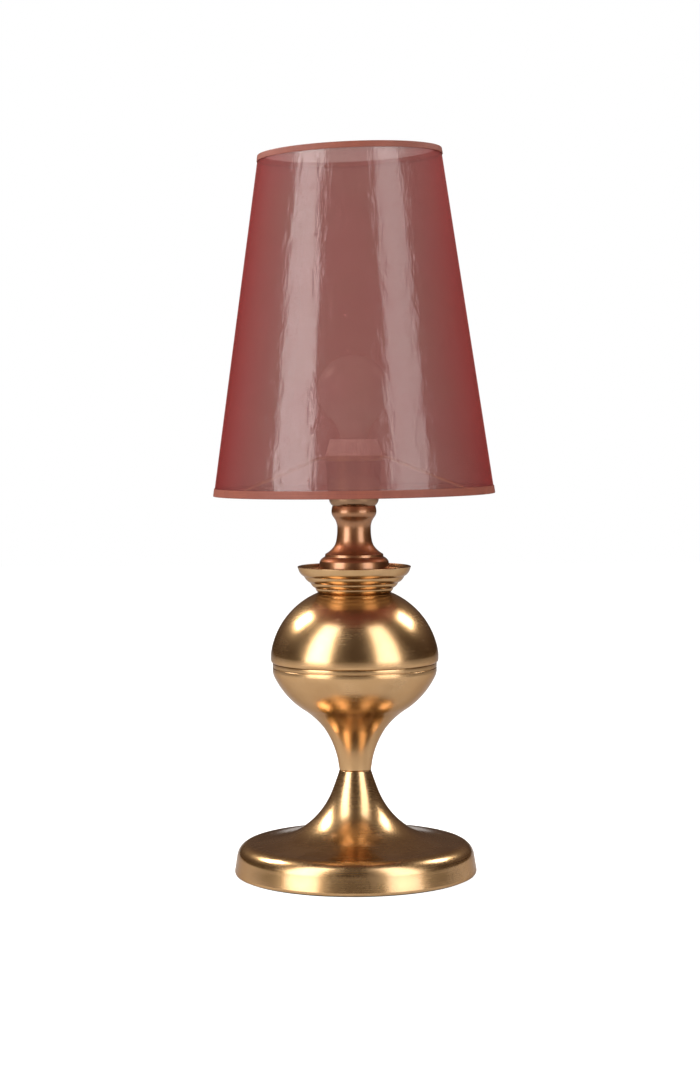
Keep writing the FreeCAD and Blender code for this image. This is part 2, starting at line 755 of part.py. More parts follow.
def make_lampholder():
    turned("lampholder_cap", [
        (s.tube_radius + s.contact_gap, 0),
        (s.holder_cap_foot, 0),
        (s.holder_cap_radius, s.holder_cap_bevel),
        (s.holder_cap_radius, s.holder_cap_height),
        (s.holder_cap_radius - s.holder_wall, s.holder_cap_height),
        (s.holder_cap_radius - s.holder_wall, s.holder_floor),
        (s.tube_radius + s.contact_gap, s.holder_floor),
    ], holder_seat)
    skirt_radius = s.holder_cap_radius + s.holder_gap
    skirt_start = holder_seat + s.holder_cap_height - s.sleeve_lap
    flange_radius = s.cup_radius - s.cup_wall - s.flange_gap
    turned("lampholder_sleeve", [
        (skirt_radius, skirt_start),
        (skirt_radius + s.holder_wall, skirt_start),
        (skirt_radius + s.holder_wall, flange_top - s.flange_thickness),
        (flange_radius, flange_top - s.flange_thickness),
        (flange_radius, flange_top),
        (s.sleeve_radius, flange_top),
        (s.sleeve_radius, flange_top + s.sleeve_height),
        (s.bulb_entry_radius, flange_top + s.sleeve_height),
        (s.bulb_entry_radius, flange_top + s.sleeve_height - s.bulb_entry),
        (s.bulb_bore_radius, flange_top + s.sleeve_height - s.bulb_entry),
        (s.bulb_bore_radius, block_top + s.sleeve_web),
        (skirt_radius, block_top + s.sleeve_web),
    ])


def make_contact_block():
    body = new_body("lampholder_insert", block_seat)
    disc = blank_sketch(body, "block_outline", "XY_Plane")
    draw_circle(disc, 0, 0, block_radius)
    draw_circle(disc, 0, 0, s.rivet_radius)
    pad(body, "block", disc, s.insert_height)
    half = s.terminal_width / 2
    for side, name in ((1, "right"), (-1, "left")):
        recess = blank_sketch(body, name + "_terminal_outline", "XY_Plane")
        near = (s.screw_spread - half) * side
        far = (block_radius + s.overrun) * side
        corners = [(near, -half), (far, -half), (far, half), (near, half)]
        draw_outline(recess, corners)
        pocket(body, name + "_terminal", recess, s.terminal_depth, True)
        hole = blank_sketch(body, name + "_screw_outline", "XY_Plane")
        draw_circle(hole, s.screw_spread * side, 0, s.screw_radius + s.contact_gap)
        pocket(body, name + "_screw_hole", hole,
               s.terminal_depth + s.screw_length - s.screw_head + s.screw_tip_gap, True)


def make_terminal_screws():
    # Two equal screws that point down out of the block's terminal recesses.
    shank = s.screw_length
    head_face = block_seat + s.terminal_depth - s.contact_gap
    parts = []
    for side, name in ((1, "right"), (-1, "left")):
        rod = document.addObject("Part::Cylinder", name + "_screw_shank")
        bind(rod, "Radius", s.screw_radius)
        bind(rod, "Height", shank)
        head = document.addObject("Part::Cylinder", name + "_screw_head")
        bind(head, "Radius", s.screw_head_radius)
        bind(head, "Height", s.screw_head)
        for item, z in ((rod, head_face - s.screw_head), (head, head_face - s.screw_head)):
            bind(item, "Placement.Base.x", s.screw_spread * side)
            bind(item, "Placement.Base.z", z)
        screw = document.addObject("Part::MultiFuse", name + "_screw")
        screw.Shapes = [rod, head]
        parts.append(screw)
    pair = document.addObject("Part::Compound", "terminal_screws")
    pair.Label = "terminal_screws"
    pair.Links = parts
    return pair


def make_contacts():
    body = new_body("centre_contact", block_top)
    side = blank_sketch(body, "centre_leaf_outline", "XZ_Plane")
    draw_outline(side, [
        (-s.leaf_heel, 0),
        (-s.leaf_tip - s.leaf_ramp, 0),
        (-s.leaf_tip, s.leaf_rise),
        (s.leaf_tip, s.leaf_rise),
        (s.leaf_tip, s.leaf_rise + s.leaf_thickness),
        (-s.leaf_tip, s.leaf_rise + s.leaf_thickness),
        (-s.leaf_tip - s.leaf_ramp, s.leaf_thickness),
        (-s.leaf_heel, s.leaf_thickness),
    ])
    pad(body, "centre_leaf", side, s.leaf_width, True)
    body = new_body("side_contact", block_top)
    side = blank_sketch(body, "side_leaf_outline", "XZ_Plane")
    face = s.cap_radius + s.contact_gap
    draw_outline(side, [
        (face, 0),
        (face + s.leaf_foot, 0),
        (face + s.leaf_foot, s.leaf_thickness),
        (face + s.leaf_thickness, s.leaf_thickness),
        (face + s.leaf_thickness, s.side_leaf_height),
        (face, s.side_leaf_height),
    ])
    pad(body, "side_leaf", side, s.leaf_width, True)


def make_shade_ring():
    bore = s.sleeve_radius + s.holder_gap
    slope = (s.ring_radius - s.ring_top_radius) / (s.ring_height - s.ring_edge)
    turned("shade_ring", [
        (s.ring_radius - s.ring_wall, 0),
        (s.ring_radius, 0),
        (s.ring_radius, s.ring_edge),
        (s.ring_top_radius, s.ring_height),
        (bore, s.ring_height),
        (bore, s.ring_recess),
        (s.ring_radius - s.ring_wall - slope * s.ring_recess, s.ring_recess),
    ], ring_seat)


def make_bulb():
    cap_foot = s.contact_height + s.insulator_height
    turned("bulb_contact", [
        (0, 0, contact_share),
        (s.contact_radius, s.contact_height / 2),
        (s.contact_radius, s.contact_height),
        (0, s.contact_height),
    ], bulb_seat)
    turned("bulb_insulator", [
        (0, s.contact_height + s.contact_gap),
        (s.contact_radius + s.contact_height, s.contact_height + s.contact_gap),
        (s.insulator_radius, cap_foot),
        (s.insulator_radius, cap_foot + s.insulator_height / 2),
        (0, cap_foot + s.insulator_height / 2),
    ], bulb_seat)
    skirt_start = cap_foot + s.cap_height - s.cap_skirt
    turned("bulb_cap", walled([
        (s.insulator_radius + s.cap_wall + s.contact_gap, cap_foot, lip_share),
        (s.cap_radius, cap_foot + s.insulator_height),
        (s.cap_radius, skirt_start),
        (s.cap_skirt_radius, skirt_start + s.cap_skirt / 2),
        (s.cap_skirt_radius, cap_foot + s.cap_height),
    ], s.cap_wall), bulb_seat)
    leave = s.globe_neck_angle
    sphere_turn = right_angle + leave.value - s.globe_crown.value
    sphere_share = math.tan(math.radians(sphere_turn / 4))
    crown = s.globe_rise + s.globe_radius * cosine(s.globe_crown)
    neck_foot = cap_foot + s.cap_height - s.glass_lap
    neck = s.cap_skirt_radius - s.cap_wall - s.contact_gap
    turned("bulb_globe", walled([
        (neck, neck_foot),
        (neck, neck_foot + s.glass_neck, -neck_glass_share),
        (s.globe_radius * cosine(leave), s.globe_rise - s.globe_radius * sine(leave), sphere_share),
        (s.globe_radius * sine(s.globe_crown), crown),
        (0, crown),
    ], s.globe_wall), bulb_seat)
    foot_radius = neck - s.globe_wall - s.contact_gap
    ledge = neck_foot + s.mount_ledge_height
    rod_top = neck_foot + s.mount_height
    turned("bulb_mount", [
        (0, neck_foot),
        (foot_radius, neck_foot),
        (foot_radius, neck_foot + s.mount_foot, -mount_share),
        (s.mount_ledge_radius, ledge),
        (s.mount_rod_radius, ledge),
        (s.mount_rod_radius, rod_top),
        (s.mount_rod_radius / 2, rod_top + s.mount_rod_radius / 2),
        (0, rod_top + s.mount_rod_radius / 2),
    ], bulb_seat)
    return ledge + s.contact_gap, rod_top


def swept_wire(body, name, role, path_corners, start_role, lift, x, y, radius):
    # A round wire along an open path that starts square to one of the body's planes.
    path = blank_sketch(body, name + "_path", role)
    draw_outline(path, path_corners, closed=False)
    section = blank_sketch(body, name + "_section", start_role, lift)
    draw_circle(section, x, y, radius)
    feature = body.newObject("PartDesign::AdditivePipe", name)
    feature.Profile = section
    feature.Spine = path
    return feature


def make_filament(start, rod_top):
    # Two lead wires that spread from the glass mount and carry the bowed filament.
    reach = s.lead_spread
    gap = s.mount_rod_radius + s.lead_radius + s.contact_gap
    leads = new_body("bulb_leads", bulb_seat)
    feature = swept_wire(leads, "lead", "XZ_Plane", [
        (gap, start),
        (gap, rod_top - s.lead_start, -lead_share),
        (reach, rod_top + s.lead_knee, lead_top_share),
        (reach + s.lead_flare, rod_top + s.lead_height),
    ], "XY_Plane", start, gap, 0, s.lead_radius)
    around(leads, "lead_pair", feature, 2)
    filament = new_body("bulb_filament", bulb_seat)
    level = rod_top + s.lead_height + s.filament_radius + s.contact_gap
    path = blank_sketch(filament, "filament_path", "XZ_Plane")
    draw_outline(path, [(-reach, level, -filament_share), (reach, level)], closed=False)
    slope = math.degrees(2 * math.atan(filament_share))
    section = blank_sketch(filament, "filament_section", "YZ_Plane", -reach)
    section.AttachmentOffset = Placement(Vector(0, level.value, -reach.value),
                                         Rotation(Vector(1, 0, 0), -slope))
    bind(section, "AttachmentOffset.Base.y", level)
    bind(section, "AttachmentOffset.Base.z", -reach)
    draw_circle(section, 0, 0, s.filament_radius)
    feature = filament.newObject("PartDesign::AdditivePipe", "filament")
    feature.Profile = section
    feature.Spine = path


def lean(body, height=None, tilt=None):
    # Places a shade piece on the fitter seat, leaning with the shade, or on the tilted top rim.
    turn = Rotation(Vector(0, -1, 0), s.shade_lean.value)
    body.Placement = Placement(Vector(0, 0, fitter_seat.value), turn)
    if height is None:
        bind(body, "Placement.Base.z", fitter_seat)
        bind(body, "Placement.Rotation.Angle", s.shade_lean)
        return
    bind(body, "Placement.Base.x", -height * sine(s.shade_lean))
    bind(body, "Placement.Base.z", fitter_seat + height * cosine(s.shade_lean))
    bind(body, "Placement.Rotation.Angle", s.shade_lean + tilt)


# The taper of the shade, as radius lost for each millimetre of height, and the width that a
# slanting wall takes up sideways for each millimetre of its thickness.
taper = (s.shade_radius - s.shade_top_radius) / (s.shade_drop + s.shade_rise)
slant = root(1 + taper * taper)

# Insets from the outer face of the shade, each along the radius.
film_inset = s.hem_thickness + s.hem_gap
film_inner_inset = film_inset + s.film_thickness
wire_inset = film_inner_inset + s.hem_gap + s.rim_wire_radius * slant
fold_inset = wire_inset + s.rim_wire_radius * slant + s.hem_gap
wire_depth = film_inset + s.rim_wire_radius

# Directions from a rim into the shade: upwards it narrows, downwards it widens.
narrowing = -1
widening = 1


def rim_radius(edge_radius, inset, depth, change):
    # The radius at an inset from the shade's outer face, some depth away from a rim.
    return edge_radius - inset + taper * depth * change


def make_fitter():
    # A dished ring with a turned up lip, and three arms that run down to the lower wire.
    body = new_body("shade_fitter")
    lean(body)
    bore = s.sleeve_radius + s.fitter_bore_gap
    revolve(body, "fitter", [
        (bore, 0),
        (s.fitter_radius, 0),
        (s.fitter_radius, s.fitter_lip),
        (s.fitter_radius - s.fitter_sheet, s.fitter_lip),
        (s.fitter_radius - s.fitter_sheet, s.fitter_sheet),
        (bore, s.fitter_sheet),
    ])
    root_height = s.fitter_lip - s.arm_radius
    root_radius = s.fitter_radius - s.fitter_sheet / 2
    knee = root_radius + s.arm_reach
    # The straight stretch leaves the bend on the tangent that aims at the wire's centre.
    across = rim_radius(s.shade_radius, wire_inset, wire_depth, narrowing) - knee
    drop = root_height - s.arm_bend + s.shade_drop - wire_depth
    distance = root(across * across + drop * drop)
    straight = root(distance * distance - s.arm_bend * s.arm_bend)
    near = s.arm_bend * s.arm_bend / (distance * distance)
    aside = s.arm_bend * straight / (distance * distance)
    bend_end = across * near + drop * aside
    bend_drop = s.arm_bend + drop * near - across * aside
    run = across - bend_end
    fall = drop + s.arm_bend - bend_drop
    kept = 1 - (s.rim_wire_radius + s.contact_gap) / straight
    bend_share = math.tan(math.atan2(fall.value, run.value) / 4)
    feature = swept_wire(body, "arm", "YZ_Plane", [
        (root_radius, root_height),
        (knee, root_height, -bend_share),
        (knee + bend_end, root_height - bend_drop),
        (knee + bend_end + run * kept, root_height - bend_drop - fall * kept),
    ], "XZ_Plane", -root_radius, 0, root_height, s.arm_radius)
    around(body, "arms", feature, s.arm_count)


def hem_section(edge_radius, height, change):
    # A folded binding round the film's edge and the wire. Its depths run inwards from the rim.
    wall = s.hem_thickness
    inner_height = height * inner_hem_share
    corner_round = -round_share * change

    def place(inset, depth):
        return rim_radius(edge_radius, inset, depth, change), depth

    return [
        place(fold_inset + wall, wall) + (corner_round,),
        (edge_radius - fold_inset, 0),
        (edge_radius - wall, 0, corner_round),
        place(0, wall),
        place(0, height),
        place(wall, height),
        place(wall, wall),
        place(fold_inset, wall),
        place(fold_inset, inner_height),
        place(fold_inset + wall, inner_height),
    ]


def rim_circle(body, name, depth, radius):
    # A circle round the tilted axis of the top rim, some depth under the rim.
    sketch = blank_sketch(body, name, "XY_Plane")
    aside = depth * sine(s.rim_tilt)
    height = s.shade_rise - depth * cosine(s.rim_tilt)
    sketch.AttachmentOffset = Placement(Vector(aside.value, 0, height.value),
                                        Rotation(Vector(0, -1, 0), s.rim_tilt.value))
    bind(sketch, "AttachmentOffset.Base.x", aside)
    bind(sketch, "AttachmentOffset.Base.z", height)
    bind(sketch, "AttachmentOffset.Rotation.Angle", s.rim_tilt)
    draw_circle(sketch, 0, 0, radius)
    return sketch


def make_film():
    # A tall cone of thin film between the level lower rim and the tilted upper rim.
    body = new_body("shade_film")
    lean(body)
    for face, inset, kind in (("outer", film_inset, "PartDesign::AdditiveLoft"),
                              ("inner", film_inner_inset, "PartDesign::SubtractiveLoft")):
        start = blank_sketch(body, face + "_lower_edge", "XY_Plane", film_inset - s.shade_drop)
        draw_circle(start, 0, 0, rim_radius(s.shade_radius, inset, film_inset, narrowing))
        sections = []
        for place, depth in (("_under_binding", s.upper_hem), ("_upper_edge", film_inset)):
            radius = rim_radius(s.shade_top_radius, inset, depth, widening)
            sections.append(rim_circle(body, face + place, depth, radius))
        loft = body.newObject(kind, face + "_cone")
        loft.Profile = start
        loft.Sections = sections
        loft.Ruled = True


def make_rims():
    # The wire and the folded binding of each rim. The lower binding is notched for the arms.
    lower = -s.shade_drop
    wire = turned_wire("shade_lower_wire",
                       rim_radius(s.shade_radius, wire_inset, wire_depth, narrowing),
                       lower + wire_depth, s.rim_wire_radius)
    lean(wire)
    wire = turned_wire("shade_upper_wire",
                       rim_radius(s.shade_top_radius, wire_inset, wire_depth, widening),
                       -wire_depth, s.rim_wire_radius)
    lean(wire, s.shade_rise, s.rim_tilt)
    hem = new_body("shade_lower_hem")
    lean(hem)
    corners = hem_section(s.shade_radius, s.lower_hem, narrowing)
    revolve(hem, "lower_hem", [(corner[0], lower + corner[1], bulge_of(corner))
                               for corner in corners])
    notch = blank_sketch(hem, "notch_outline", "XY_Plane", lower + s.lower_hem)
    half = s.arm_radius + s.notch_gap
    inner = s.shade_radius - fold_inset - s.hem_thickness - s.overrun
    outer = s.shade_radius - wire_inset
    draw_outline(notch, [(-half, inner), (half, inner), (half, outer), (-half, outer)])
    cut = pocket(hem, "notch", notch, s.lower_hem - s.hem_thickness)
    around(hem, "notches", cut, s.arm_count)
    hem = new_body("shade_upper_hem")
    lean(hem, s.shade_rise, s.rim_tilt)
    corners = hem_section(s.shade_top_radius, s.upper_hem, widening)
    revolve(hem, "upper_hem", [(corner[0], -corner[1], bulge_of(corner))
                               for corner in corners])


def build():
    make_base_pad()
    make_base_weight()
    make_base_shell()
    make_cord_bushing()
    make_fasteners()
    make_lower_vase()
    make_upper_vase()
    make_drip_pan()
    make_neck()
    make_socket_cup()
    make_lampholder()
    make_contact_block()
    screws = make_terminal_screws()
    make_contacts()
    make_shade_ring()
    lead_seat, rod_top = make_bulb()
    make_filament(lead_seat, rod_top)
    make_fitter()
    make_film()
    make_rims()
    document.recompute()
    return [item for item in document.Objects if item.TypeId == "PartDesign::Body"] + [screws]


def check(pieces):
    for item in document.Objects:
        if "Invalid" in item.State or "Error" in item.State:
            raise RuntimeError(f"{item.Label} did not build: {item.State}")
    for piece in pieces:
        if piece.Shape.isNull() or not piece.Shape.isValid() or not piece.Shape.Solids:
            raise RuntimeError(f"{piece.Label} has no valid solid")


def write(pieces):
    os.makedirs("parts", exist_ok=True)
    for piece in pieces:
        piece.Shape.exportStep(f"parts/{piece.Label}.step")
        box = piece.Shape.BoundBox
        print(f"{piece.Label}: {len(piece.Shape.Solids)} solid(s), {piece.Shape.Volume:.1f} mm3,"
              f" z {box.ZMin:.1f} to {box.ZMax:.1f}, x {box.XMin:.1f} to {box.XMax:.1f}")


pieces = build()
check(pieces)
write(pieces)
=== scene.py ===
import math
import bmesh
import bpy
from mathutils import Matrix, Vector


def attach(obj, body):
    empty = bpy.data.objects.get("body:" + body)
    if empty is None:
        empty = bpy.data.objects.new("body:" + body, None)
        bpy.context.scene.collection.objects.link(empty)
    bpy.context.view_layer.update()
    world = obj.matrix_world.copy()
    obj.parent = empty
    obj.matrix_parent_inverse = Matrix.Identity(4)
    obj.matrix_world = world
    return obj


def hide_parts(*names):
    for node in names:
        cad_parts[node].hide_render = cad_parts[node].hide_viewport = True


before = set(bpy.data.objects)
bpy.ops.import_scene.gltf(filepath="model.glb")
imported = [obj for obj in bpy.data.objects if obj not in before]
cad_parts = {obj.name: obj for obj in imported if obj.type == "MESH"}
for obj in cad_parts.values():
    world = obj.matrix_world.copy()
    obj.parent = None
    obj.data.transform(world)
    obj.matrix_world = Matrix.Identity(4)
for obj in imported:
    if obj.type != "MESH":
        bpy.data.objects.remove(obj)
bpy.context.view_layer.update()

# Table lamp: a stand of satin brass with a copper neck, under a tall red see-through shade.
# Metres, +Z up, +Y the back. The stand's axis is X = Y = 0. Outlines are in millimetres.

mm = 0.001
scene = bpy.context.scene


# Nodes and materials

def addNode(tree, kind, values=None, links=None, **settings):
    item = tree.nodes.new(kind)
    for key, value in settings.items():
        setattr(item, key, value)
    for key, value in (values or {}).items():
        item.inputs[key].default_value = value
    for key, socket in (links or {}).items():
        tree.links.new(socket, item.inputs[key])
    return item


def feed(tree, item, inputs):
    # Gives each input a number, a colour or another node's output.
    for key, value in inputs.items():
        if isinstance(value, tuple):
            item.inputs[key].default_value = (*value, 1)
        elif isinstance(value, (int, float)):
            item.inputs[key].default_value = value
        else:
            tree.links.new(value, item.inputs[key])


def addMath(tree, operation, *terms):
    item = addNode(tree, "ShaderNodeMath", operation=operation)
    feed(tree, item, dict(enumerate(terms)))
    return item.outputs[0]


def vectorMath(tree, operation, first, second=None, out="Vector"):
    fixed = isinstance(second, tuple)
    links = {0: first} if fixed or second is None else {0: first, 1: second}
    return addNode(tree, "ShaderNodeVectorMath", {1: second} if fixed else None, links,
                   operation=operation).outputs[out]


def newMaterial(name):
    material = bpy.data.materials.new(name)
    material.use_nodes = True
    tree = material.node_tree
    return material, tree, tree.nodes["Principled BSDF"]


def objectPlace(tree):
    return tree.nodes.new("ShaderNodeTexCoord").outputs["Object"]


def heightOf(tree, place):
    return addNode(tree, "ShaderNodeSeparateXYZ", None, {0: place}).outputs["Z"]


def ringPlace(tree):
    # Distance from the axis and height: a pattern runs round the piece as turning marks do.
    place = objectPlace(tree)
    radius = vectorMath(tree, "LENGTH", vectorMath(tree, "MULTIPLY", place, (1, 1, 0)),
                        out="Value")
    return addNode(tree, "ShaderNodeCombineXYZ", None,
                   {"X": radius, "Z": heightOf(tree, place)}).outputs[0]


def barrelPlace(tree, stretch):
    # Direction round the axis and squeezed height: a pattern runs up the piece in streaks.
    place = objectPlace(tree)
    outward = vectorMath(tree, "NORMALIZE", vectorMath(tree, "MULTIPLY", place, (1, 1, 0)))
    tall = addNode(tree, "ShaderNodeCombineXYZ", None,
                   {"Z": addMath(tree, "MULTIPLY", heightOf(tree, place), stretch)})
    return vectorMath(tree, "ADD", outward, tall.outputs[0])


def noise(tree, place, scale, detail=3.0, rough=0.55):
    return addNode(tree, "ShaderNodeTexNoise",
                   {"Scale": scale, "Detail": detail, "Roughness": rough},
                   {"Vector": place}).outputs["Fac"]


def barrelNoise(tree, stretch, *settings):
    return noise(tree, barrelPlace(tree, stretch), *settings)


def spread(tree, value, low, high, fromLow=0.3, fromHigh=0.7):
    return addNode(tree, "ShaderNodeMapRange",
                   {"From Min": fromLow, "From Max": fromHigh, "To Min": low, "To Max": high},
                   {"Value": value}).outputs[0]


def threeShades(tree, value, look, edge):
    # Dark, middle and light colour of a look, over the values of a noise.
    item = addNode(tree, "ShaderNodeValToRGB", None, {"Fac": value})
    elements = item.color_ramp.elements
    elements.new(0.5)
    for element, position, key in zip(elements, (edge, 0.5, 1 - edge),
                                      ("dark", "colour", "light")):
        element.position = position
        element.color = (*look[key], 1)
    return item.outputs["Color"]


def mixColour(tree, share, first, second):
    item = addNode(tree, "ShaderNodeMix", data_type="RGBA")
    feed(tree, item, {0: share, 6: first, 7: second})
    return item.outputs[2]


def bump(tree, height, strength, distance, under=None):
    links = {"Height": height}
    if under is not None:
        links["Normal"] = under
    return addNode(tree, "ShaderNodeBump", {"Strength": strength, "Distance": distance},
                   links).outputs[0]


def seeThrough(tree, tint, solid, surface):
    # Lets tinted light straight through a sheet, as far as it isn't solid.
    clear = addNode(tree, "ShaderNodeBsdfTransparent")
    feed(tree, clear, {"Color": tint})
    mixed = addNode(tree, "ShaderNodeMixShader")
    feed(tree, mixed, {0: solid, 1: clear.outputs[0], 2: surface.outputs[0]})
    feed(tree, tree.nodes["Material Output"], {"Surface": mixed.outputs[0]})


# Noises: scale, where all of them share it, detail and roughness. Lifts are bumps in metres.
metalShared = {"ringNoise": (4, 0.65), "waveNoise": (3, 0.6), "ringsPerWave": 14,
               "cloud": (38, 4, 0.6), "cloudEdge": 0.2, "speck": (900, 3, 0.7),
               "speckShare": 0.35, "speckSpan": (0.7, 0.85), "ringRough": (-0.01, 0.015),
               "cloudRough": (-0.015, 0.025), "ringLift": 0.00004, "waveLift": 0.0002,
               "lacquer": 0.6, "lacquerRough": 0.14, "rimTint": (0.42, 0.28, 0.18)}


def turnedMetal(name, look):
    # Lacquered metal with the fine rings of the lathe, faint clouding and a little wear.
    material, tree, shader = newMaterial(name)
    shared = metalShared
    rings = ringPlace(tree)
    fine = noise(tree, rings, look["ringScale"], *shared["ringNoise"])
    broad = noise(tree, rings, look["ringScale"] / shared["ringsPerWave"], *shared["waveNoise"])
    cloud = noise(tree, objectPlace(tree), *shared["cloud"])
    speck = noise(tree, objectPlace(tree), *shared["speck"])
    base = threeShades(tree, cloud, look, shared["cloudEdge"])
    base = mixColour(tree, spread(tree, fine, 0, look["ringTint"]), base, look["dark"])
    base = mixColour(tree, spread(tree, speck, 0, shared["speckShare"], *shared["speckSpan"]),
                     base, look["spot"])
    least, most = shared["cloudRough"]
    uneven = addMath(tree, "ADD", spread(tree, fine, *shared["ringRough"]),
                     spread(tree, cloud, look["rough"] + least, look["rough"] + most))
    lines = bump(tree, fine, look["ringDepth"], shared["ringLift"])
    feed(tree, shader, {
        "Base Color": base, "Metallic": 1, "Roughness": uneven, "Coat Weight": shared["lacquer"],
        "Coat Roughness": shared["lacquerRough"], "Specular Tint": shared["rimTint"],
        "Normal": bump(tree, broad, look["waveDepth"], shared["waveLift"], lines)})
    return material


plainShared = {"cloud": (60, 3), "grainNoise": (4, 0.65), "grainTint": 0.3, "lift": 0.0002,
               "roughSpan": (-0.06, 0.08)}


def plainFinish(name, look):
    # Moulded, painted, felted or cast stuff: two shades, a grain and a bump.
    material, tree, shader = newMaterial(name)
    place = objectPlace(tree)
    cloud = noise(tree, place, *plainShared["cloud"])
    grain = noise(tree, place, look["grainScale"], *plainShared["grainNoise"])
    base = mixColour(tree, spread(tree, cloud, 0, 1), look["colour"], look["other"])
    base = mixColour(tree, spread(tree, grain, 0, plainShared["grainTint"]), base, look["other"])
    least, most = plainShared["roughSpan"]
    feed(tree, shader, {
        "Base Color": base, "Metallic": look.get("metal", 0),
        "Roughness": spread(tree, grain, look["rough"] + least, look["rough"] + most),
        "Normal": bump(tree, grain, look["depth"], look.get("lift", plainShared["lift"]))})
    feed(tree, shader, look.get("sockets", {}))
    return material


metalLooks = {
    "base_brass": {"colour": (0.53, 0.325, 0.15), "dark": (0.44, 0.25, 0.10),
                   "light": (0.61, 0.39, 0.20), "spot": (0.30, 0.16, 0.06), "rough": 0.26,
                   "ringScale": 5200, "ringTint": 0.08, "ringDepth": 0.02, "waveDepth": 0.03},
    "vase_brass": {"colour": (0.53, 0.325, 0.15), "dark": (0.46, 0.265, 0.11),
                   "light": (0.60, 0.385, 0.195), "spot": (0.30, 0.16, 0.06), "rough": 0.25,
                   "ringScale": 5200, "ringTint": 0.08, "ringDepth": 0.02, "waveDepth": 0.03},
    "pan_brass": {"colour": (0.51, 0.32, 0.15), "dark": (0.43, 0.25, 0.105),
                  "light": (0.56, 0.36, 0.19), "spot": (0.28, 0.15, 0.06), "rough": 0.25,
                  "ringScale": 5600, "ringTint": 0.08, "ringDepth": 0.02, "waveDepth": 0.02},
    "neck_copper": {"colour": (0.33, 0.155, 0.072), "dark": (0.27, 0.12, 0.052),
                    "light": (0.39, 0.195, 0.10), "spot": (0.2, 0.09, 0.05), "rough": 0.36,
                    "ringScale": 6200, "ringTint": 0.08, "ringDepth": 0.02, "waveDepth": 0.02},
    # The socket cup is the stand's brass with its colour painted about half as dark: painted shade
    # for where it stands under and inside the lamp's shade.
    "cup_brass": {"colour": (0.27, 0.15, 0.08), "dark": (0.22, 0.115, 0.058),
                  "light": (0.32, 0.185, 0.105), "spot": (0.18, 0.09, 0.05), "rough": 0.22,
                  "ringScale": 5600, "ringTint": 0.25, "ringDepth": 0.02, "waveDepth": 0.02},
    "contact_brass": {"colour": (0.74, 0.56, 0.27), "dark": (0.62, 0.44, 0.2),
                      "light": (0.8, 0.62, 0.34), "spot": (0.3, 0.22, 0.12), "rough": 0.32,
                      "ringScale": 3000, "ringTint": 0.2, "ringDepth": 0.1, "waveDepth": 0.02},
}

plainLooks = {
    "felt": {"colour": (0.035, 0.055, 0.04), "other": (0.06, 0.085, 0.06), "grainScale": 2600,
             "rough": 0.92, "depth": 0.7, "lift": 0.0005, "sockets": {"Sheen Weight": 0.35}},
    "ballast": {"colour": (0.05, 0.05, 0.052), "other": (0.085, 0.08, 0.078), "grainScale": 700,
                "rough": 0.7, "depth": 0.5, "lift": 0.0006, "metal": 0.6},
    "bushing_plastic": {"colour": (0.02, 0.019, 0.018), "other": (0.04, 0.037, 0.034),
                        "grainScale": 1800, "rough": 0.42, "depth": 0.15},
    "zinc_steel": {"colour": (0.56, 0.56, 0.55), "other": (0.44, 0.44, 0.42),
                   "grainScale": 1500, "rough": 0.36, "depth": 0.15, "metal": 1},
    "holder_plastic": {"colour": (0.62, 0.60, 0.55), "other": (0.5, 0.48, 0.43),
                       "grainScale": 1400, "rough": 0.38, "depth": 0.12},
    "block_plastic": {"colour": (0.75, 0.73, 0.68), "other": (0.6, 0.58, 0.53),
                      "grainScale": 900, "rough": 0.55, "depth": 0.25},
    "ring_plastic": {"colour": (0.93, 0.92, 0.89), "other": (0.86, 0.84, 0.8),
                     "grainScale": 1600, "rough": 0.3, "depth": 0.1},
    "cap_aluminium": {"colour": (0.72, 0.72, 0.71), "other": (0.55, 0.54, 0.52),
                      "grainScale": 2000, "rough": 0.3, "depth": 0.12, "metal": 1},
    "solder": {"colour": (0.6, 0.6, 0.6), "other": (0.4, 0.4, 0.41), "grainScale": 1200,
               "rough": 0.4, "depth": 0.3, "metal": 1},
    "black_glass": {"colour": (0.012, 0.01, 0.012), "other": (0.03, 0.025, 0.03),
                    "grainScale": 700, "rough": 0.12, "depth": 0.06},
    # The bulb's frosted glass is painted a mid grey, darker than frosted glass is: painted shade
    # for the dim inside of the lamp's shade.
    "frosted_glass": {"colour": (0.5, 0.49, 0.47), "other": (0.43, 0.42, 0.4),
                      "grainScale": 1800, "rough": 0.3, "depth": 0.1,
                      "sockets": {"Coat Weight": 0.6, "Coat Roughness": 0.1}},
    "clear_glass": {"colour": (0.9, 0.93, 0.92), "other": (0.8, 0.85, 0.84),
                    "grainScale": 300, "rough": 0.08, "depth": 0.05,
                    "sockets": {"Transmission Weight": 0.9}},
    "lamp_wire": {"colour": (0.42, 0.41, 0.4), "other": (0.28, 0.27, 0.26),
                  "grainScale": 4000, "rough": 0.35, "depth": 0.2, "metal": 1},
    "shade_wire": {"colour": (0.62, 0.5, 0.3), "other": (0.5, 0.38, 0.2),
                   "grainScale": 2600, "rough": 0.34, "depth": 0.15, "metal": 1},
}


# Where the two ends of the rolled film overlap, clockwise from the back seen from above.
lap = {"azimuth": -33, "width": 9, "blur": 0.1, "thick": 0.25, "margin": 0.06, "runOut": 0.01,
       "solid": 0.1, "tint": 0.35}


def lapWays():
    # Directions across the lap and out through it.
    turn = math.radians(lap["azimuth"])
    return (math.cos(turn), -math.sin(turn), 0), (math.sin(turn), math.cos(turn), 0)


def lapShare(tree):
    # 1 on the lap, 0 elsewhere, with a crisp edge.
    across, out = (vectorMath(tree, "DOT_PRODUCT", objectPlace(tree), way, "Value")
                   for way in lapWays())
    edge = lap["width"] / 2 * mm
    near = spread(tree, addMath(tree, "ABSOLUTE", across), 1, 0, edge - lap["blur"] * mm,
                  edge + lap["blur"] * mm)
    return addMath(tree, "MULTIPLY", near, addMath(tree, "GREATER_THAN", out, 0))


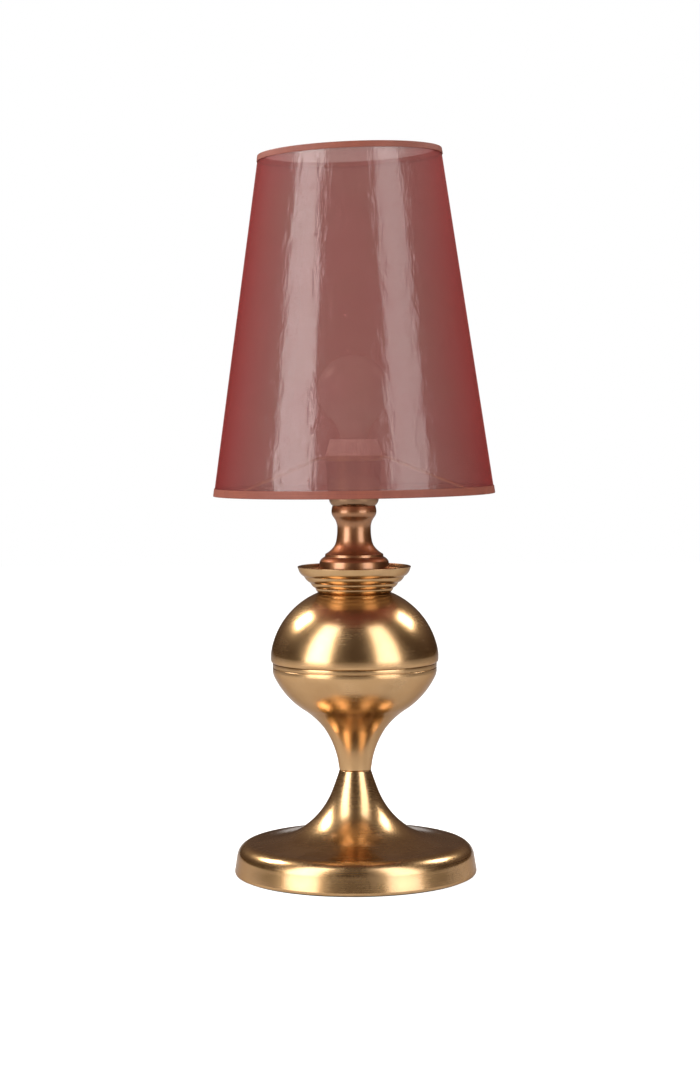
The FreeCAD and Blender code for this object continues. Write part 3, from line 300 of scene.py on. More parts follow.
def makeFilm(look):
    # Stiff see-through film: mottled like parchment, drawn in faint upright streaks, glossy.
    material, tree, shader = newMaterial("shade_film")
    place = objectPlace(tree)
    streaks = barrelNoise(tree, *look["streaks"])
    stain = noise(tree, place, *look["stains"])
    mottle = noise(tree, place, *look["mottle"])
    fibre = barrelNoise(tree, *look["fibre"])
    base = threeShades(tree, mottle, look, look["mottleEdge"])
    base = mixColour(tree, spread(tree, streaks, 0, look["streakTint"]), base, look["light"])
    base = mixColour(tree, spread(tree, stain, 0, look["stainTint"]), base, look["stain"])
    base = mixColour(tree, spread(tree, fibre, 0, look["fibreTint"]), base, look["dark"])
    # Seen on edge the film is deeper and redder, as its colour is in its thickness.
    slant = addNode(tree, "ShaderNodeLayerWeight", {"Blend": 0.5}).outputs["Facing"]
    edgeShare = spread(tree, slant, 0, 1, *look["edgeSpan"])
    base = mixColour(tree, edgeShare, base, look["edge"])
    doubled = lapShare(tree)
    base = mixColour(tree, addMath(tree, "MULTIPLY", doubled, lap["tint"]), base, look["dark"])
    ripple = bump(tree, barrelNoise(tree, *look["broad"]), *look["ripple"])
    rippled = bump(tree, streaks, *look["streakBump"], ripple)
    feed(tree, shader, {
        "Base Color": base, "Roughness": spread(tree, mottle, *look["roughSpan"]),
        "Specular IOR Level": look["gloss"], "Coat Weight": look["coat"],
        "Coat Roughness": look["coatRough"],
        "Normal": bump(tree, mottle, *look["grain"], rippled)})
    tint = mixColour(tree, spread(tree, mottle, 0, 1), look["through"], look["throughDark"])
    tint = mixColour(tree, edgeShare, tint, look["throughEdge"])
    density = addMath(tree, "ADD", addMath(tree, "MULTIPLY", mottle, look["mottleShare"]),
                      addMath(tree, "MULTIPLY", streaks, look["streakShare"]))
    solid = addMath(tree, "ADD", spread(tree, density, *look["solidSpan"]),
                    addMath(tree, "MULTIPLY", doubled, lap["solid"]))
    # The film scatters light forward, so what stands inside is lit more than it is seen.
    shadow = addNode(tree, "ShaderNodeLightPath").outputs["Is Shadow Ray"]
    solid = addMath(tree, "MULTIPLY", solid, spread(tree, shadow, 1, look["shadow"]))
    glow = addNode(tree, "ShaderNodeBsdfTranslucent", {"Color": (*look["glow"], 1)})
    lit = addNode(tree, "ShaderNodeMixShader", {0: look["glowShare"]},
                  {1: shader.outputs[0], 2: glow.outputs[0]})
    seeThrough(tree, tint, solid, lit)
    return material


filmLook = {
    "colour": (0.205, 0.09, 0.086), "dark": (0.165, 0.062, 0.058), "light": (0.27, 0.13, 0.124),
    "edge": (0.19, 0.02, 0.024), "stain": (0.2, 0.105, 0.088), "glow": (0.38, 0.17, 0.16),
    "through": (0.96, 0.84, 0.82), "throughDark": (0.86, 0.74, 0.71),
    "throughEdge": (0.9, 0.42, 0.42), "mottleEdge": 0.25, "edgeSpan": (0.2, 0.85),
    # Noises. Those with four numbers run upright, and the first squeezes their height.
    "streaks": (2.2, 26, 3, 0.6), "broad": (6, 4.2, 4, 0.6), "fibre": (60, 420, 4, 0.7),
    "stains": (34, 4, 0.6), "mottle": (620, 5, 0.7),
    "streakTint": 0.35, "stainTint": 0.7, "fibreTint": 0.12,
    # Bumps: strength, and height in metres.
    "ripple": (0.6, 0.002), "streakBump": (0.24, 0.0004), "grain": (0.04, 0.00008),
    "roughSpan": (0.14, 0.21), "coatRough": 0.07, "coat": 0.4, "gloss": 0.7,
    "mottleShare": 0.6, "streakShare": 0.4, "solidSpan": (0.53, 0.67), "shadow": 0.0,
    "glowShare": 0.2}


def makeBinding(look):
    # Tape folded over the rim: fine weave across and along, little gloss.
    material, tree, shader = newMaterial("shade_binding")
    weave = addMath(tree, "MULTIPLY", barrelNoise(tree, *look["across"]),
                    noise(tree, ringPlace(tree), *look["along"]))
    cloud = noise(tree, objectPlace(tree), *look["cloud"])
    base = mixColour(tree, spread(tree, cloud, 0, 1), look["colour"], look["other"])
    base = mixColour(tree, spread(tree, weave, 0, look["darkShare"], *look["weaveSpan"]), base,
                     look["dark"])
    feed(tree, shader, {
        "Base Color": base,
        "Roughness": spread(tree, weave, *look["roughSpan"], *look["weaveSpan"]),
        "Normal": bump(tree, weave, *look["weaveBump"])})
    seeThrough(tree, look["through"], look["solid"], shader)
    return material


bindingLook = {"colour": (0.27, 0.066, 0.035), "other": (0.22, 0.052, 0.03),
               "dark": (0.15, 0.04, 0.025), "through": (0.8, 0.45, 0.38), "solid": 0.9,
               "across": (0.2, 900, 2, 0.5), "along": (3600, 2, 0.5), "cloud": (70, 3),
               "darkShare": 0.6, "weaveSpan": (0.15, 0.4), "roughSpan": (0.5, 0.68),
               "weaveBump": (0.5, 0.0002)}

finishes = {name: turnedMetal(name, look) for name, look in metalLooks.items()}
finishes.update({name: plainFinish(name, look) for name, look in plainLooks.items()})
finishes["shade_film"] = makeFilm(filmLook)
finishes["shade_binding"] = makeBinding(bindingLook)
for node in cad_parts.values():
    slot = node.material_slots[0]
    slot.material = finishes[slot.material.name.split(".")[0]]
print("materials made:", len(finishes))


# Turned pieces. A corner of an outline is radius, height and the bend of the run after it.

drawing = {"short": 1e-6, "axis": 1e-5, "weld": 1e-7, "straightSteps": 4, "leastPieces": 4,
           "sharpFrom": 8, "cutShare": 0.45, "roundSteps": 4}


def edgeDirections(start, end):
    slope = math.atan2(end[1] - start[1], end[0] - start[0])
    halfTurn = 2 * math.atan(start[2])
    return slope - halfTurn, slope + halfTurn


def padded(corners):
    return [tuple(corner) + (0,) * (3 - len(corner)) for corner in corners]


def withWall(corners, wall):
    # Closes an open outline into the section of a sheet that lies to its left.
    corners = padded(corners)
    count = len(corners)
    directions = [edgeDirections(corners[k], corners[k + 1]) for k in range(count - 1)]
    inner = []
    for index in range(count):
        before = directions[index - 1][1] if index > 0 else directions[0][0]
        after = directions[index][0] if index < count - 1 else directions[-1][1]
        reach = 1 + math.cos(before - after)
        inner.append((corners[index][0] - wall * (math.sin(before) + math.sin(after)) / reach,
                      corners[index][1] + wall * (math.cos(before) + math.cos(after)) / reach))
    section = corners[:-1] + [(corners[-1][0], corners[-1][1], 0)]
    for index in range(count - 1, 0, -1):
        section.append((*inner[index], -corners[index - 1][2]))
    return section + [(*inner[0], 0)]


def bentLine(corners, step):
    # The runs of a closed line through the corners, straight or bent to an arc.
    runs = []
    for start, following in zip(corners, corners[1:] + corners[:1]):
        bend = start[2]
        start, end = Vector(start[:2]), Vector(following[:2])
        chord = end - start
        if chord.length < drawing["short"]:
            continue
        if bend == 0:
            pieces = max(1, round(chord.length / (step * drawing["straightSteps"])))
            runs.append([start.lerp(end, k / pieces) for k in range(pieces + 1)])
            continue
        along = chord.normalized()
        right = Vector((along.y, -along.x)) * (1 if bend > 0 else -1)
        half = 2 * math.atan(abs(bend))
        radius = chord.length / (2 * math.sin(half))
        pieces = max(drawing["leastPieces"], round(2 * half * radius / step))
        turns = [half * (2 * k / pieces - 1) for k in range(pieces + 1)]
        runs.append([(start + end) / 2 + along * radius * math.sin(turn)
                     + right * radius * (math.cos(turn) - math.cos(half)) for turn in turns])
    return runs


def softened(runs, softness):
    # Rounds each sharp corner between two runs, as a spun or polished edge is.
    line = []
    for run, following in zip(runs, runs[1:] + runs[:1]):
        line += run[1:-1]
        corner = run[-1]
        before, after = corner - run[-2], following[1] - corner
        turn = before.angle(after)
        if turn < math.radians(drawing["sharpFrom"]):
            line.append(corner)
            continue
        cut = min(softness * math.tan(turn / 2), before.length * drawing["cutShare"],
                  after.length * drawing["cutShare"])
        first = corner - before.normalized() * cut
        last = corner + after.normalized() * cut
        for k in range(drawing["roundSteps"] + 1):
            t = k / drawing["roundSteps"]
            line.append(first * (1 - t) ** 2 + corner * 2 * t * (1 - t) + last * t * t)
    return line


def finishMesh(name, mesh, finish, body, replaced, keepAngle=35):
    shape = bmesh.new()
    shape.from_mesh(mesh)
    bmesh.ops.remove_doubles(shape, verts=shape.verts, dist=drawing["weld"])
    bmesh.ops.recalc_face_normals(shape, faces=shape.faces)
    shape.to_mesh(mesh)
    shape.free()
    mesh.polygons.foreach_set("use_smooth", [True] * len(mesh.polygons))
    mesh.set_sharp_from_angle(angle=math.radians(keepAngle))
    mesh.materials.clear()
    mesh.materials.append(finishes[finish])
    piece = bpy.data.objects.new(name, mesh)
    scene.collection.objects.link(piece)
    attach(piece, body)
    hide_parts(*replaced)
    return piece


def band(low, high):
    # Faces between two rows of points. A row of one point lies on the axis.
    count = max(len(low), len(high))
    if count == 1:
        return []
    pairs = [(k, (k + 1) % count) for k in range(count)]
    if len(low) == 1:
        return [(low[0], high[after], high[k]) for k, after in pairs]
    if len(high) == 1:
        return [(low[k], low[after], high[0]) for k, after in pairs]
    return [(low[k], low[after], high[after], high[k]) for k, after in pairs]


def turnPiece(name, corners, seat, finish, body, replaced, wall=0, softness=0.25, step=0.7,
              segments=240, shaping=None):
    corners = withWall(corners, wall) if wall else padded(corners)
    vertices, rows = [], []
    for point in softened(bentLine(corners, step), softness):
        row = []
        onAxis = point.x < drawing["axis"]
        for k in range(1 if onAxis else segments):
            turn = 2 * math.pi * k / segments
            radius, height = (0, point.y) if onAxis else point
            if shaping:
                radius, height = shaping(turn, radius, height)
            row.append(len(vertices))
            vertices.append((radius * mm * math.cos(turn), radius * mm * math.sin(turn),
                             (seat + height) * mm))
        rows.append(row)
    faces = []
    for low, high in zip(rows, rows[1:] + rows[:1]):
        faces += band(low, high)
    mesh = bpy.data.meshes.new(name)
    mesh.from_pydata(vertices, [], faces)
    return finishMesh(name, mesh, finish, body, replaced)


def grooved(thread, turn, radius, height):
    # Round grooves on a helix, between two radii and two heights, running out at both ends.
    inner, outer = thread["between"]
    low, high = thread["low"], thread["high"]
    if not (inner < radius < outer and low < height < high):
        return radius, height
    wave = 0.5 - 0.5 * math.cos(turn - 2 * math.pi * height / thread["pitch"])
    return radius - thread["depth"] * wave * min(height - low, high - height, 1), height


tubeHole = 5.2

base = {"seat": 0, "wall": 1.2, "outline": [
    (75.2, 0.8, 0.2), (75.8, 2.6), (74.4, 11.5, 0.36), (66.0, 20.1, -0.057), (42, 24.6, -0.092),
    (30, 31.2, -0.136), (14.2, 53.2, -0.015), (9.9, 65.3), (tubeHole, 65.3)]}
turnPiece("base_turned", base["outline"], base["seat"], "base_brass", "stand", ["base_shell"],
          base["wall"])

lowerVase = {"seat": 65.3, "wall": 1.2, "outline": [
    (tubeHole, 0), (9.6, 0, 0.2), (10.1, 1.3), (10.8, 6, -0.099), (19.2, 26.2, -0.092),
    (33.5, 39.2, 0.125), (50, 58.3, 0.096), (51.3, 62.5), (51.3, 64.55), (50.98, 64.8),
    (50.98, 65.2), (51.3, 65.45), (51.3, 67.7), (49.7, 67.7), (49.7, 71.1)]}
turnPiece("vase_lower", lowerVase["outline"], lowerVase["seat"], "vase_brass", "stand",
          ["lower_vase"], lowerVase["wall"], softness=0.2)

upperVase = {"seat": 133.0, "wall": 1.2, "outline": [
    (51.2, 0, 0.29), (52.4, 2.2), (52.4, 5, 0.05), (51.3, 11.3, 0.226), (24, 43.2),
    (tubeHole, 43.2)]}
turnPiece("vase_upper", upperVase["outline"], upperVase["seat"], "vase_brass", "stand",
          ["upper_vase"], upperVase["wall"], softness=0.3)

pan = {"seat": 176.2, "wall": 1.0, "foot": (22.6, 0.6), "lastStep": (34.9, 15.1),
       "outShares": (0.15, 0.39, 0.71, 1), "upShares": (0.2, 0.42, 0.7, 1), "tread": (0.8, 0.4),
       "rim": (35.5, 16.8), "roll": 0.18}


def panOutline():
    corners = [(tubeHole, 0), (pan["foot"][0] - pan["foot"][1], 0)]
    radius, height = pan["foot"]
    for outShare, upShare in zip(pan["outShares"], pan["upShares"]):
        corners.append((radius, height, pan["roll"]))
        radius = pan["foot"][0] + (pan["lastStep"][0] - pan["foot"][0]) * outShare
        height = pan["foot"][1] + (pan["lastStep"][1] - pan["foot"][1]) * upShare
        corners.append((radius, height))
        radius += pan["tread"][0]
        height += pan["tread"][1]
    return corners + [pan["rim"]]


turnPiece("pan_turned", panOutline(), pan["seat"], "pan_brass", "stand", ["drip_pan"],
          pan["wall"], softness=0.2, step=0.4)

neck = {"seat": 177.2, "outline": [
    (16.5, 0), (20.2, 0), (20.2, 9.5, 0.18), (22, 15, 0.05), (21.4, 19.2, 0.18), (18.3, 21.9),
    (18.05, 23.6, -0.14), (12.1, 29.1, -0.084), (11, 32.8, -0.05), (10.45, 39.6, -0.176),
    (12.9, 46.7, 0.14), (14, 49.6, 0.096), (13.4, 53.6), (tubeHole, 53.6), (tubeHole, 14),
    (12.4, 14)]}
turnPiece("neck_turned", neck["outline"], neck["seat"], "neck_copper", "stand", ["neck"],
          softness=0.3, step=0.4)

# The cup takes cup_brass, whose darker colour is painted shade from the lamp's shade above it.
cup = {"seat": 230.8, "wall": 0.9, "outline": [
    (tubeHole, 0), (13.3, 0, 0.14), (15.3, 3, 0.03), (17.5, 28)]}
turnPiece("cup_turned", cup["outline"], cup["seat"], "cup_brass", "stand", ["socket_cup"],
          cup["wall"], softness=0.25)
print("turned pieces made")


# Bulb

globe = {"seat": 246.75, "centre": 55.4, "radius": 22.5, "leave": 54, "crown": 2, "wall": 0.8,
         "neck": 7.85, "foot": 21.7, "straight": 3, "flare": 0.12}


def globeOutline():
    leave = math.radians(globe["leave"])
    crown = math.radians(globe["crown"])
    radius = globe["radius"]
    top = globe["centre"] + radius * math.cos(crown)
    turn = math.pi / 2 + leave - crown
    return [(globe["neck"], globe["foot"]),
            (globe["neck"], globe["foot"] + globe["straight"], -globe["flare"]),
            (radius * math.cos(leave), globe["centre"] - radius * math.sin(leave),
             math.tan(turn / 4)),
            (radius * math.sin(crown), top), (0, top)]


# The globe's grey frosted_glass colour holds painted shade for the inside of the lamp's shade.
turnPiece("globe_blown", globeOutline(), globe["seat"], "frosted_glass", "bulb", ["bulb_globe"],
          globe["wall"], softness=0.2, step=1.0, segments=192)

screwCap = {"seat": 246.75, "wall": 0.3, "between": (0, 7.1), "pitch": 2.82, "depth": 0.55,
            "low": 5.6, "high": 19.4,
            "outline": [(5.35, 3, 0.2), (6.95, 5), (6.95, 20), (8.2, 21.5), (8.2, 23)]}
turnPiece("cap_rolled", screwCap["outline"], screwCap["seat"], "cap_aluminium", "bulb",
          ["bulb_cap"], screwCap["wall"], softness=0.1, step=0.1, segments=96,
          shaping=lambda *spot: grooved(screwCap, *spot))
print("bulb made")


# Geometry Nodes

class NodeGroup:
    # A geometry node tree with named number inputs.
    def __init__(self, name, numbers):
        self.tree = bpy.data.node_groups.new(name, "GeometryNodeTree")
        self.tree.interface.new_socket("Geometry", in_out="OUTPUT",
                                       socket_type="NodeSocketGeometry")
        self.numbers = numbers
        for key, value in numbers.items():
            kind = "NodeSocketInt" if isinstance(value, int) else "NodeSocketFloat"
            socket = self.tree.interface.new_socket(key, in_out="INPUT", socket_type=kind)
            socket.default_value = value
        self.source = self.tree.nodes.new("NodeGroupInput")
        self.target = self.tree.nodes.new("NodeGroupOutput")

    def size(self, key):
        return self.source.outputs[key]

    def add(self, kind, values=None, links=None, **settings):
        return addNode(self.tree, kind, values, links, **settings)

    def math(self, operation, *terms):
        return addMath(self.tree, operation, *terms)

    def mesh(self, geometry, finish):
        # Ends the tree and turns its result into a plain mesh.
        real = self.add("GeometryNodeRealizeInstances", None, {0: geometry})
        paint = self.add("GeometryNodeSetMaterial", None, {"Geometry": real.outputs[0]})
        paint.inputs["Material"].default_value = finishes[finish]
        self.tree.links.new(paint.outputs[0], self.target.inputs[0])
        holder = bpy.data.objects.new(self.tree.name, bpy.data.meshes.new(self.tree.name))
        scene.collection.objects.link(holder)
        modifier = holder.modifiers.new("shape", "NODES")
        modifier.node_group = self.tree
        for item in self.tree.interface.items_tree:
            if item.item_type == "SOCKET" and item.in_out == "INPUT":
                modifier[item.identifier] = self.numbers[item.name]
        graph = bpy.context.evaluated_depsgraph_get()
        mesh = bpy.data.meshes.new_from_object(holder.evaluated_get(graph), depsgraph=graph)
        holder.modifiers.remove(modifier)
        bpy.data.objects.remove(holder)
        return mesh


# Filament: fine wire coiled along a bowed line between the two lead wires

filament = {"reach": 7.5, "level": 302.8, "rise": 2.625, "coil": 0.25, "wire": 0.05,
            "turns": 84, "stepsPerTurn": 14, "wireSides": 6}


def coiledWire():
    # Each point of a line is put by its index, along the bow and round it at once.
    bow = (filament["reach"] ** 2 + filament["rise"] ** 2) / (2 * filament["rise"])
    group = NodeGroup("coiled_wire", {
        "points": filament["turns"] * filament["stepsPerTurn"] + 1,
        "halfTurn": math.asin(filament["reach"] / bow), "bow": bow * mm,
        "coil": filament["coil"] * mm, "wire": filament["wire"] * mm,
        "turns": filament["turns"], "wireSides": filament["wireSides"],
        "centre": (filament["level"] + filament["rise"] - bow) * mm})
    line = group.add("GeometryNodeMeshLine", None, {"Count": group.size("points")})
    share = group.math("DIVIDE", group.add("GeometryNodeInputIndex").outputs[0],
                       group.math("SUBTRACT", group.size("points"), 1))
    along = group.math("MULTIPLY", group.math("SUBTRACT", group.math("MULTIPLY", share, 2), 1),
                       group.size("halfTurn"))
    twist = group.math("MULTIPLY", group.math("MULTIPLY", share, group.size("turns")), math.tau)
    away = group.math("ADD", group.size("bow"), group.math(
        "MULTIPLY", group.size("coil"), group.math("COSINE", twist)))
    place = group.add("ShaderNodeCombineXYZ", None, {
        "X": group.math("MULTIPLY", away, group.math("SINE", along)),
        "Y": group.math("MULTIPLY", group.size("coil"), group.math("SINE", twist)),
        "Z": group.math("ADD", group.size("centre"),
                        group.math("MULTIPLY", away, group.math("COSINE", along)))})
    bent = group.add("GeometryNodeSetPosition", None,
                     {"Geometry": line.outputs[0], "Position": place.outputs[0]})
    curve = group.add("GeometryNodeMeshToCurve", None, {"Mesh": bent.outputs[0]})
    section = group.add("GeometryNodeCurvePrimitiveCircle", None, {
        "Resolution": group.size("wireSides"), "Radius": group.size("wire")})
    swept = group.add("GeometryNodeCurveToMesh", {"Fill Caps": True},
                      {"Curve": curve.outputs[0], "Profile Curve": section.outputs[0]})
    return group.mesh(swept.outputs[0], "lamp_wire")


finishMesh("filament_coiled", coiledWire(), "lamp_wire", "bulb", ["bulb_filament"], 60)
print("filament made")


# Shade: a cone between a level lower rim and a tilted upper rim, leaning half a degree

shade = {"seat": 259.03, "lean": 0.5, "tilt": 1.7, "lowerRadius": 87.8, "upperRadius": 57.1,
         "drop": 21.1, "rise": 190.6, "upperHem": 3.8, "hemThick": 0.4, "hemFold": 3.48,
         "hemBend": 0.41, "hemFlap": 0.8, "hemCut": 0.1, "filmInset": 0.45, "film": 0.5,
         "lowerGap": 0.05, "wave": 0.12, "waveNoise": (2.4, 2.0), "waveSqueeze": 0.8,
         "roundSteps": 480, "upSteps": 80, "seamWeld": 1e-6}
taper = (shade["lowerRadius"] - shade["upperRadius"]) / (shade["drop"] + shade["rise"])
leanTurn = Matrix.Translation((0, 0, shade["seat"] * mm)) @ Matrix.Rotation(
    math.radians(-shade["lean"]), 4, "Y")
topTurn = leanTurn @ Matrix.Translation((0, 0, shade["rise"] * mm)) @ Matrix.Rotation(
    math.radians(-shade["tilt"]), 4, "Y")


def sheetOfFilm():
    # A grid rolled into a closed cone: X of the grid runs round, Y runs up.
    group = NodeGroup("rolled_film", {
        "roundPoints": shade["roundSteps"] + 1, "upPoints": shade["upSteps"] + 1,
        "lowerRadius": (shade["lowerRadius"] - shade["filmInset"] - shade["lowerGap"]) * mm,
        "upperRadius": (shade["upperRadius"] - shade["filmInset"]) * mm,
        "bottom": (shade["filmInset"] - shade["drop"]) * mm, "top": shade["rise"] * mm,
        "rimDepth": shade["filmInset"] * mm, "tilt": math.radians(shade["tilt"]),
        "wave": shade["wave"] * mm})
    grid = group.add("GeometryNodeMeshGrid", {"Size X": 1.0, "Size Y": 1.0},
                     {"Vertices X": group.size("roundPoints"),
                      "Vertices Y": group.size("upPoints")})
    place = group.add("ShaderNodeSeparateXYZ", None,
                      {0: group.add("GeometryNodeInputPosition").outputs[0]})
    turn = group.math("MULTIPLY", group.math("ADD", place.outputs["X"], 0.5), math.tau)
    up = group.math("ADD", place.outputs["Y"], 0.5)
    cosine, sine = group.math("COSINE", turn), group.math("SINE", turn)
    # Upper edge in the tilted plane of the top rim, a little under it.
    upperX = group.math("MULTIPLY", group.size("upperRadius"), cosine)
    rimZ = group.math("MULTIPLY", group.size("rimDepth"), -1)
    tiltCos = group.math("COSINE", group.size("tilt"))
    tiltSin = group.math("SINE", group.size("tilt"))
    topX = group.math("SUBTRACT", group.math("MULTIPLY", upperX, tiltCos),
                      group.math("MULTIPLY", rimZ, tiltSin))
    topZ = group.math("ADD", group.size("top"), group.math(
        "ADD", group.math("MULTIPLY", upperX, tiltSin), group.math("MULTIPLY", rimZ, tiltCos)))
    upper = group.add("ShaderNodeCombineXYZ", None, {
        "X": topX, "Y": group.math("MULTIPLY", group.size("upperRadius"), sine), "Z": topZ})
    lower = group.add("ShaderNodeCombineXYZ", None, {
        "X": group.math("MULTIPLY", group.size("lowerRadius"), cosine),
        "Y": group.math("MULTIPLY", group.size("lowerRadius"), sine), "Z": group.size("bottom")})
    cone = group.add("ShaderNodeMix", None, {0: up, 4: lower.outputs[0], 5: upper.outputs[0]},
                     data_type="VECTOR")
    # Slow waves along the radius, none at the rims, as rolled film never lies quite true.
    scale, detail = shade["waveNoise"]
    squeezed = group.math("MULTIPLY", up, shade["waveSqueeze"])
    ripple = group.add("ShaderNodeTexNoise", {"Scale": scale, "Detail": detail}, {
        "Vector": group.add("ShaderNodeCombineXYZ", None, {
            "X": cosine, "Y": sine, "Z": squeezed}).outputs[0]})
    fade = group.math("MULTIPLY", group.math("MULTIPLY", up, group.math("SUBTRACT", 1.0, up)), 4.0)
    swing = group.math("MULTIPLY", group.math(
        "MULTIPLY", group.math("SUBTRACT", ripple.outputs[0], 0.5), group.size("wave")), fade)
    outward = group.add("ShaderNodeCombineXYZ", None, {"X": cosine, "Y": sine})
    push = group.add("ShaderNodeVectorMath", None, {0: outward.outputs[0], 3: swing},
                     operation="SCALE")
    moved = group.add("ShaderNodeVectorMath", None, {0: cone.outputs[1], 1: push.outputs[0]},
                      operation="ADD")
    rolled = group.add("GeometryNodeSetPosition", None,
                       {"Geometry": grid.outputs["Mesh"], "Position": moved.outputs[0]})
    joined = group.add("GeometryNodeMergeByDistance", {"Distance": shade["seamWeld"]},
                       {"Geometry": rolled.outputs[0]})
    return group.mesh(joined.outputs[0], "shade_film")


def lapDepth(point):
    # How far the inner end of the film stands proud of the wall here, in millimetres.
    across, out = (point.x * way[0] + point.y * way[1] for way in lapWays())
    if out < 0 or abs(across) > lap["width"] / 2 * mm:
        return 0
    up = (point.z / mm + shade["drop"]) / (shade["drop"] + shade["rise"])
    ends = min(up - lap["margin"], 1 - lap["margin"] - up) / lap["runOut"]
    return lap["thick"] * max(0, min(1, ends))


def thickened(mesh, thickness):
    # Gives an open sheet its wall, inwards, with closed edges.
    shape = bmesh.new()
    shape.from_mesh(mesh)
    bmesh.ops.recalc_face_normals(shape, faces=shape.faces)
    middle = max(shape.faces, key=lambda face: face.calc_center_median().x)
    if middle.normal.x < 0:
        bmesh.ops.reverse_faces(shape, faces=shape.faces)
    shape.normal_update()
    inner = {}
    for vertex in list(shape.verts):
        depth = thickness + lapDepth(vertex.co) * mm
        inner[vertex] = shape.verts.new(vertex.co - vertex.normal * depth)
    faces, edges = list(shape.faces), [edge for edge in shape.edges if edge.is_boundary]
    for face in faces:
        shape.faces.new([inner[vertex] for vertex in reversed(face.verts)])
    for edge in edges:
        a, b = edge.verts
        shape.faces.new([b, a, inner[a], inner[b]])
    shape.to_mesh(mesh)
    shape.free()


filmMesh = sheetOfFilm()
thickened(filmMesh, shade["film"] * mm)
filmMesh.transform(leanTurn)
finishMesh("film_rolled", filmMesh, "shade_film", "shade", ["shade_film"], 50)


def hemOutline(edgeRadius, height):
    # Folded tape round the upper rim, with a soft fold. Depths run from the rim downwards.
    wall, fold, bend = shade["hemThick"], shade["hemFold"], shade["hemBend"]
    flap = height * shade["hemFlap"]
    spots = [(fold + wall, wall, -bend), (fold, 0, 0), (wall, 0, -bend), (0, wall, 0),
             (0, height - shade["hemCut"], 0), (wall, height, 0), (wall, wall, 0), (fold, wall, 0),
             (fold, flap, 0), (fold + wall, flap, 0)]
    return [(edgeRadius - inset + taper * depth, -depth, turn) for inset, depth, turn in spots]


hem = turnPiece("hem_upper", hemOutline(shade["upperRadius"], shade["upperHem"]), 0,
                "shade_binding", "shade", ["shade_upper_hem"], softness=0.12, step=0.15,
                segments=360)
hem.data.transform(topTurn)
print("shade made")


# Lampholder sleeve: moulded, with the thread that the shade ring runs on

sleeve = {"seat": 241.7, "between": (13.35, 13.45), "pitch": 2.5, "depth": 0.5, "low": 17.6,
          "high": 30.3,
          "outline": [(13.25, 0), (14.55, 0), (14.55, 14.5), (16.1, 14.5), (16.1, 17.1),
                      (13.4, 17.1), (13.4, 30.7), (9.2, 30.7), (9.2, 24.3), (7.2, 24.3),
                      (7.2, 11.2), (13.25, 11.2)]}
turnPiece("sleeve_threaded", sleeve["outline"], sleeve["seat"], "holder_plastic", "stand",
          ["lampholder_sleeve"], softness=0.2, step=0.06, segments=144,
          shaping=lambda *spot: grooved(sleeve, *spot))
print("lampholder made")


# Shade ring: a white nut with grip ribs round its skirt

ring = {"seat": 260.26, "ribs": 48, "ribDepth": 0.35, "ribLow": 1.6, "ribHigh": 10.6,
        "runOut": 0.6, "skirtRadius": 18, "skirtSeat": 1, "skirtSlope": 0.3, "near": 0.12,
        "outline": [(16.7, 0), (18, 0), (18, 1), (14.7, 12), (13.55, 12), (13.55, 3),
                    (15.8, 3)]}


def gripRibs(turn, radius, height):
    # Upright ribs on the sloping skirt, running out at both ends.
    low, high = ring["ribLow"], ring["ribHigh"]
    skirt = ring["skirtRadius"] - (height - ring["skirtSeat"]) * ring["skirtSlope"]
    if not low <= height <= high or abs(radius - skirt) > ring["near"]:
        return radius, height
    fade = min(1, (height - low) / ring["runOut"], (high - height) / ring["runOut"])
    wave = max(0, math.cos(turn * ring["ribs"])) ** 2
    return radius - ring["ribDepth"] * wave * fade, height


turnPiece("ring_ribbed", ring["outline"], ring["seat"], "ring_plastic", "ring", ["shade_ring"],
          softness=0.35, step=0.15, segments=576, shaping=gripRibs)
print("ring made")


# Camera, light and floor

view = {"lens": 76.18, "sensor": 36, "place": (-0.00254, -1.418, 0.285), "pitch": 87,
        "roll": -0.3}
lens = bpy.data.cameras.new("camera")
lens.sensor_fit = "VERTICAL"
lens.sensor_height = view["sensor"]
lens.lens = view["lens"]
camera = bpy.data.objects.new("camera", lens)
scene.collection.objects.link(camera)
camera.matrix_world = (Matrix.Translation(view["place"])
                       @ Matrix.Rotation(math.radians(view["pitch"]), 4, "X")
                       @ Matrix.Rotation(math.radians(view["roll"]), 4, "Z"))
scene.camera = camera

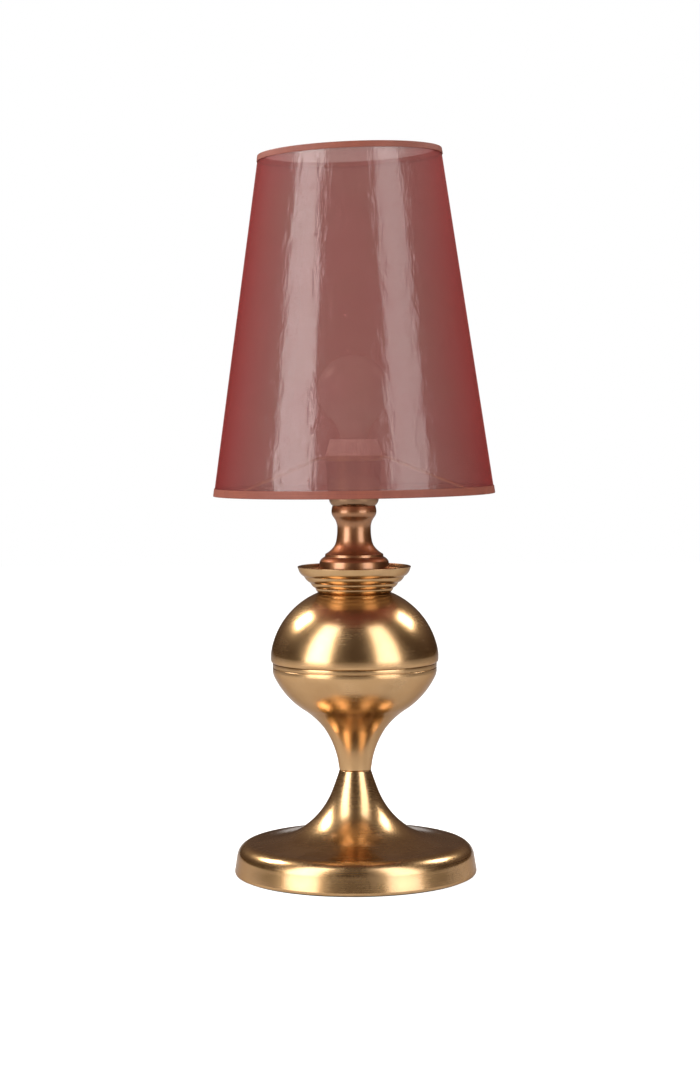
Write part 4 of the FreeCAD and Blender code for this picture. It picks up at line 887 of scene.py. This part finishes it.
# Each soft light: where it stands round the lamp, its distance, height, width, tallness and
# power, and the height that it aims at where that isn't its own.
lights = {
    "left": {"azimuth": -51.5, "away": 1.3, "height": 1.3, "wide": 0.80, "tall": 2.5,
             "power": 36},
    "right": {"azimuth": 46.5, "away": 1.3, "height": 1.3, "wide": 0.76, "tall": 2.5,
              "power": 23.5},
    "sideLeft": {"azimuth": -118, "away": 1.3, "height": 1.2, "wide": 0.4, "tall": 0.5,
                 "power": 16, "aim": 0.2},
    "sideRight": {"azimuth": 118, "away": 1.3, "height": 1.2, "wide": 0.5, "tall": 0.5,
                  "power": 8, "aim": 0.2},
}
for name, light in lights.items():
    lamp = bpy.data.lights.new(name, "AREA")
    lamp.shape = "RECTANGLE"
    lamp.size = light["wide"]
    lamp.size_y = light["tall"]
    lamp.energy = light["power"]
    item = bpy.data.objects.new(name, lamp)
    scene.collection.objects.link(item)
    turn = math.radians(light["azimuth"])
    item.location = (light["away"] * math.sin(turn), -light["away"] * math.cos(turn),
                     light["height"])
    aim = Vector((0, 0, light.get("aim", light["height"]))) - item.location
    item.rotation_euler = aim.to_track_quat("-Z", "Y").to_euler()
    item.visible_camera = False

world = bpy.data.worlds.new("studio")
scene.world = world
world.use_nodes = True
tree = world.node_tree
room = {"seen": (1, 1, 1), "front": (0.048, 0.026, 0.014), "back": (0.2, 0.156, 0.136),
        "acrossSpan": (0.1, 0.9), "upShares": (0.25, 1.1), "upSpan": (0.06, 0.34)}
background = tree.nodes["Background"]
direction = tree.nodes.new("ShaderNodeTexCoord").outputs["Generated"]
way = addNode(tree, "ShaderNodeSeparateXYZ", None, {0: direction}).outputs
lit = addMath(tree, "MULTIPLY", spread(tree, way["Y"], 0, 1, *room["acrossSpan"]),
              spread(tree, way["Z"], *room["upShares"], *room["upSpan"]))
around = mixColour(tree, lit, room["front"], room["back"])
seen = addNode(tree, "ShaderNodeLightPath").outputs["Is Camera Ray"]
feed(tree, background, {"Color": mixColour(tree, seen, around, room["seen"])})

floorLook = {"colour": (0.56, 0.54, 0.51), "other": (0.5, 0.49, 0.47), "glow": 0.22,
             "seenGlow": 1.0, "half": 3.0, "cloud": (6, 3), "rough": 0.6}
floorMesh = bpy.data.meshes.new("floor")
half = floorLook["half"]
floorMesh.from_pydata([(-half, -half, 0), (half, -half, 0), (half, half, 0), (-half, half, 0)],
                      [], [(0, 1, 2, 3)])
floor = bpy.data.objects.new("floor", floorMesh)
scene.collection.objects.link(floor)
floorMaterial, tree, shader = newMaterial("pale_floor")
cloud = spread(tree, noise(tree, objectPlace(tree), *floorLook["cloud"]), 0, 1)
seen = addNode(tree, "ShaderNodeLightPath").outputs["Is Camera Ray"]
feed(tree, shader, {
    "Base Color": mixColour(tree, cloud, floorLook["colour"], floorLook["other"]),
    "Roughness": floorLook["rough"], "Emission Color": (1, 1, 1),
    "Emission Strength": spread(tree, seen, floorLook["glow"], floorLook["seenGlow"], 0, 1)})
floorMesh.materials.append(floorMaterial)
scene.view_settings.view_transform = "Standard"

print("scene made")
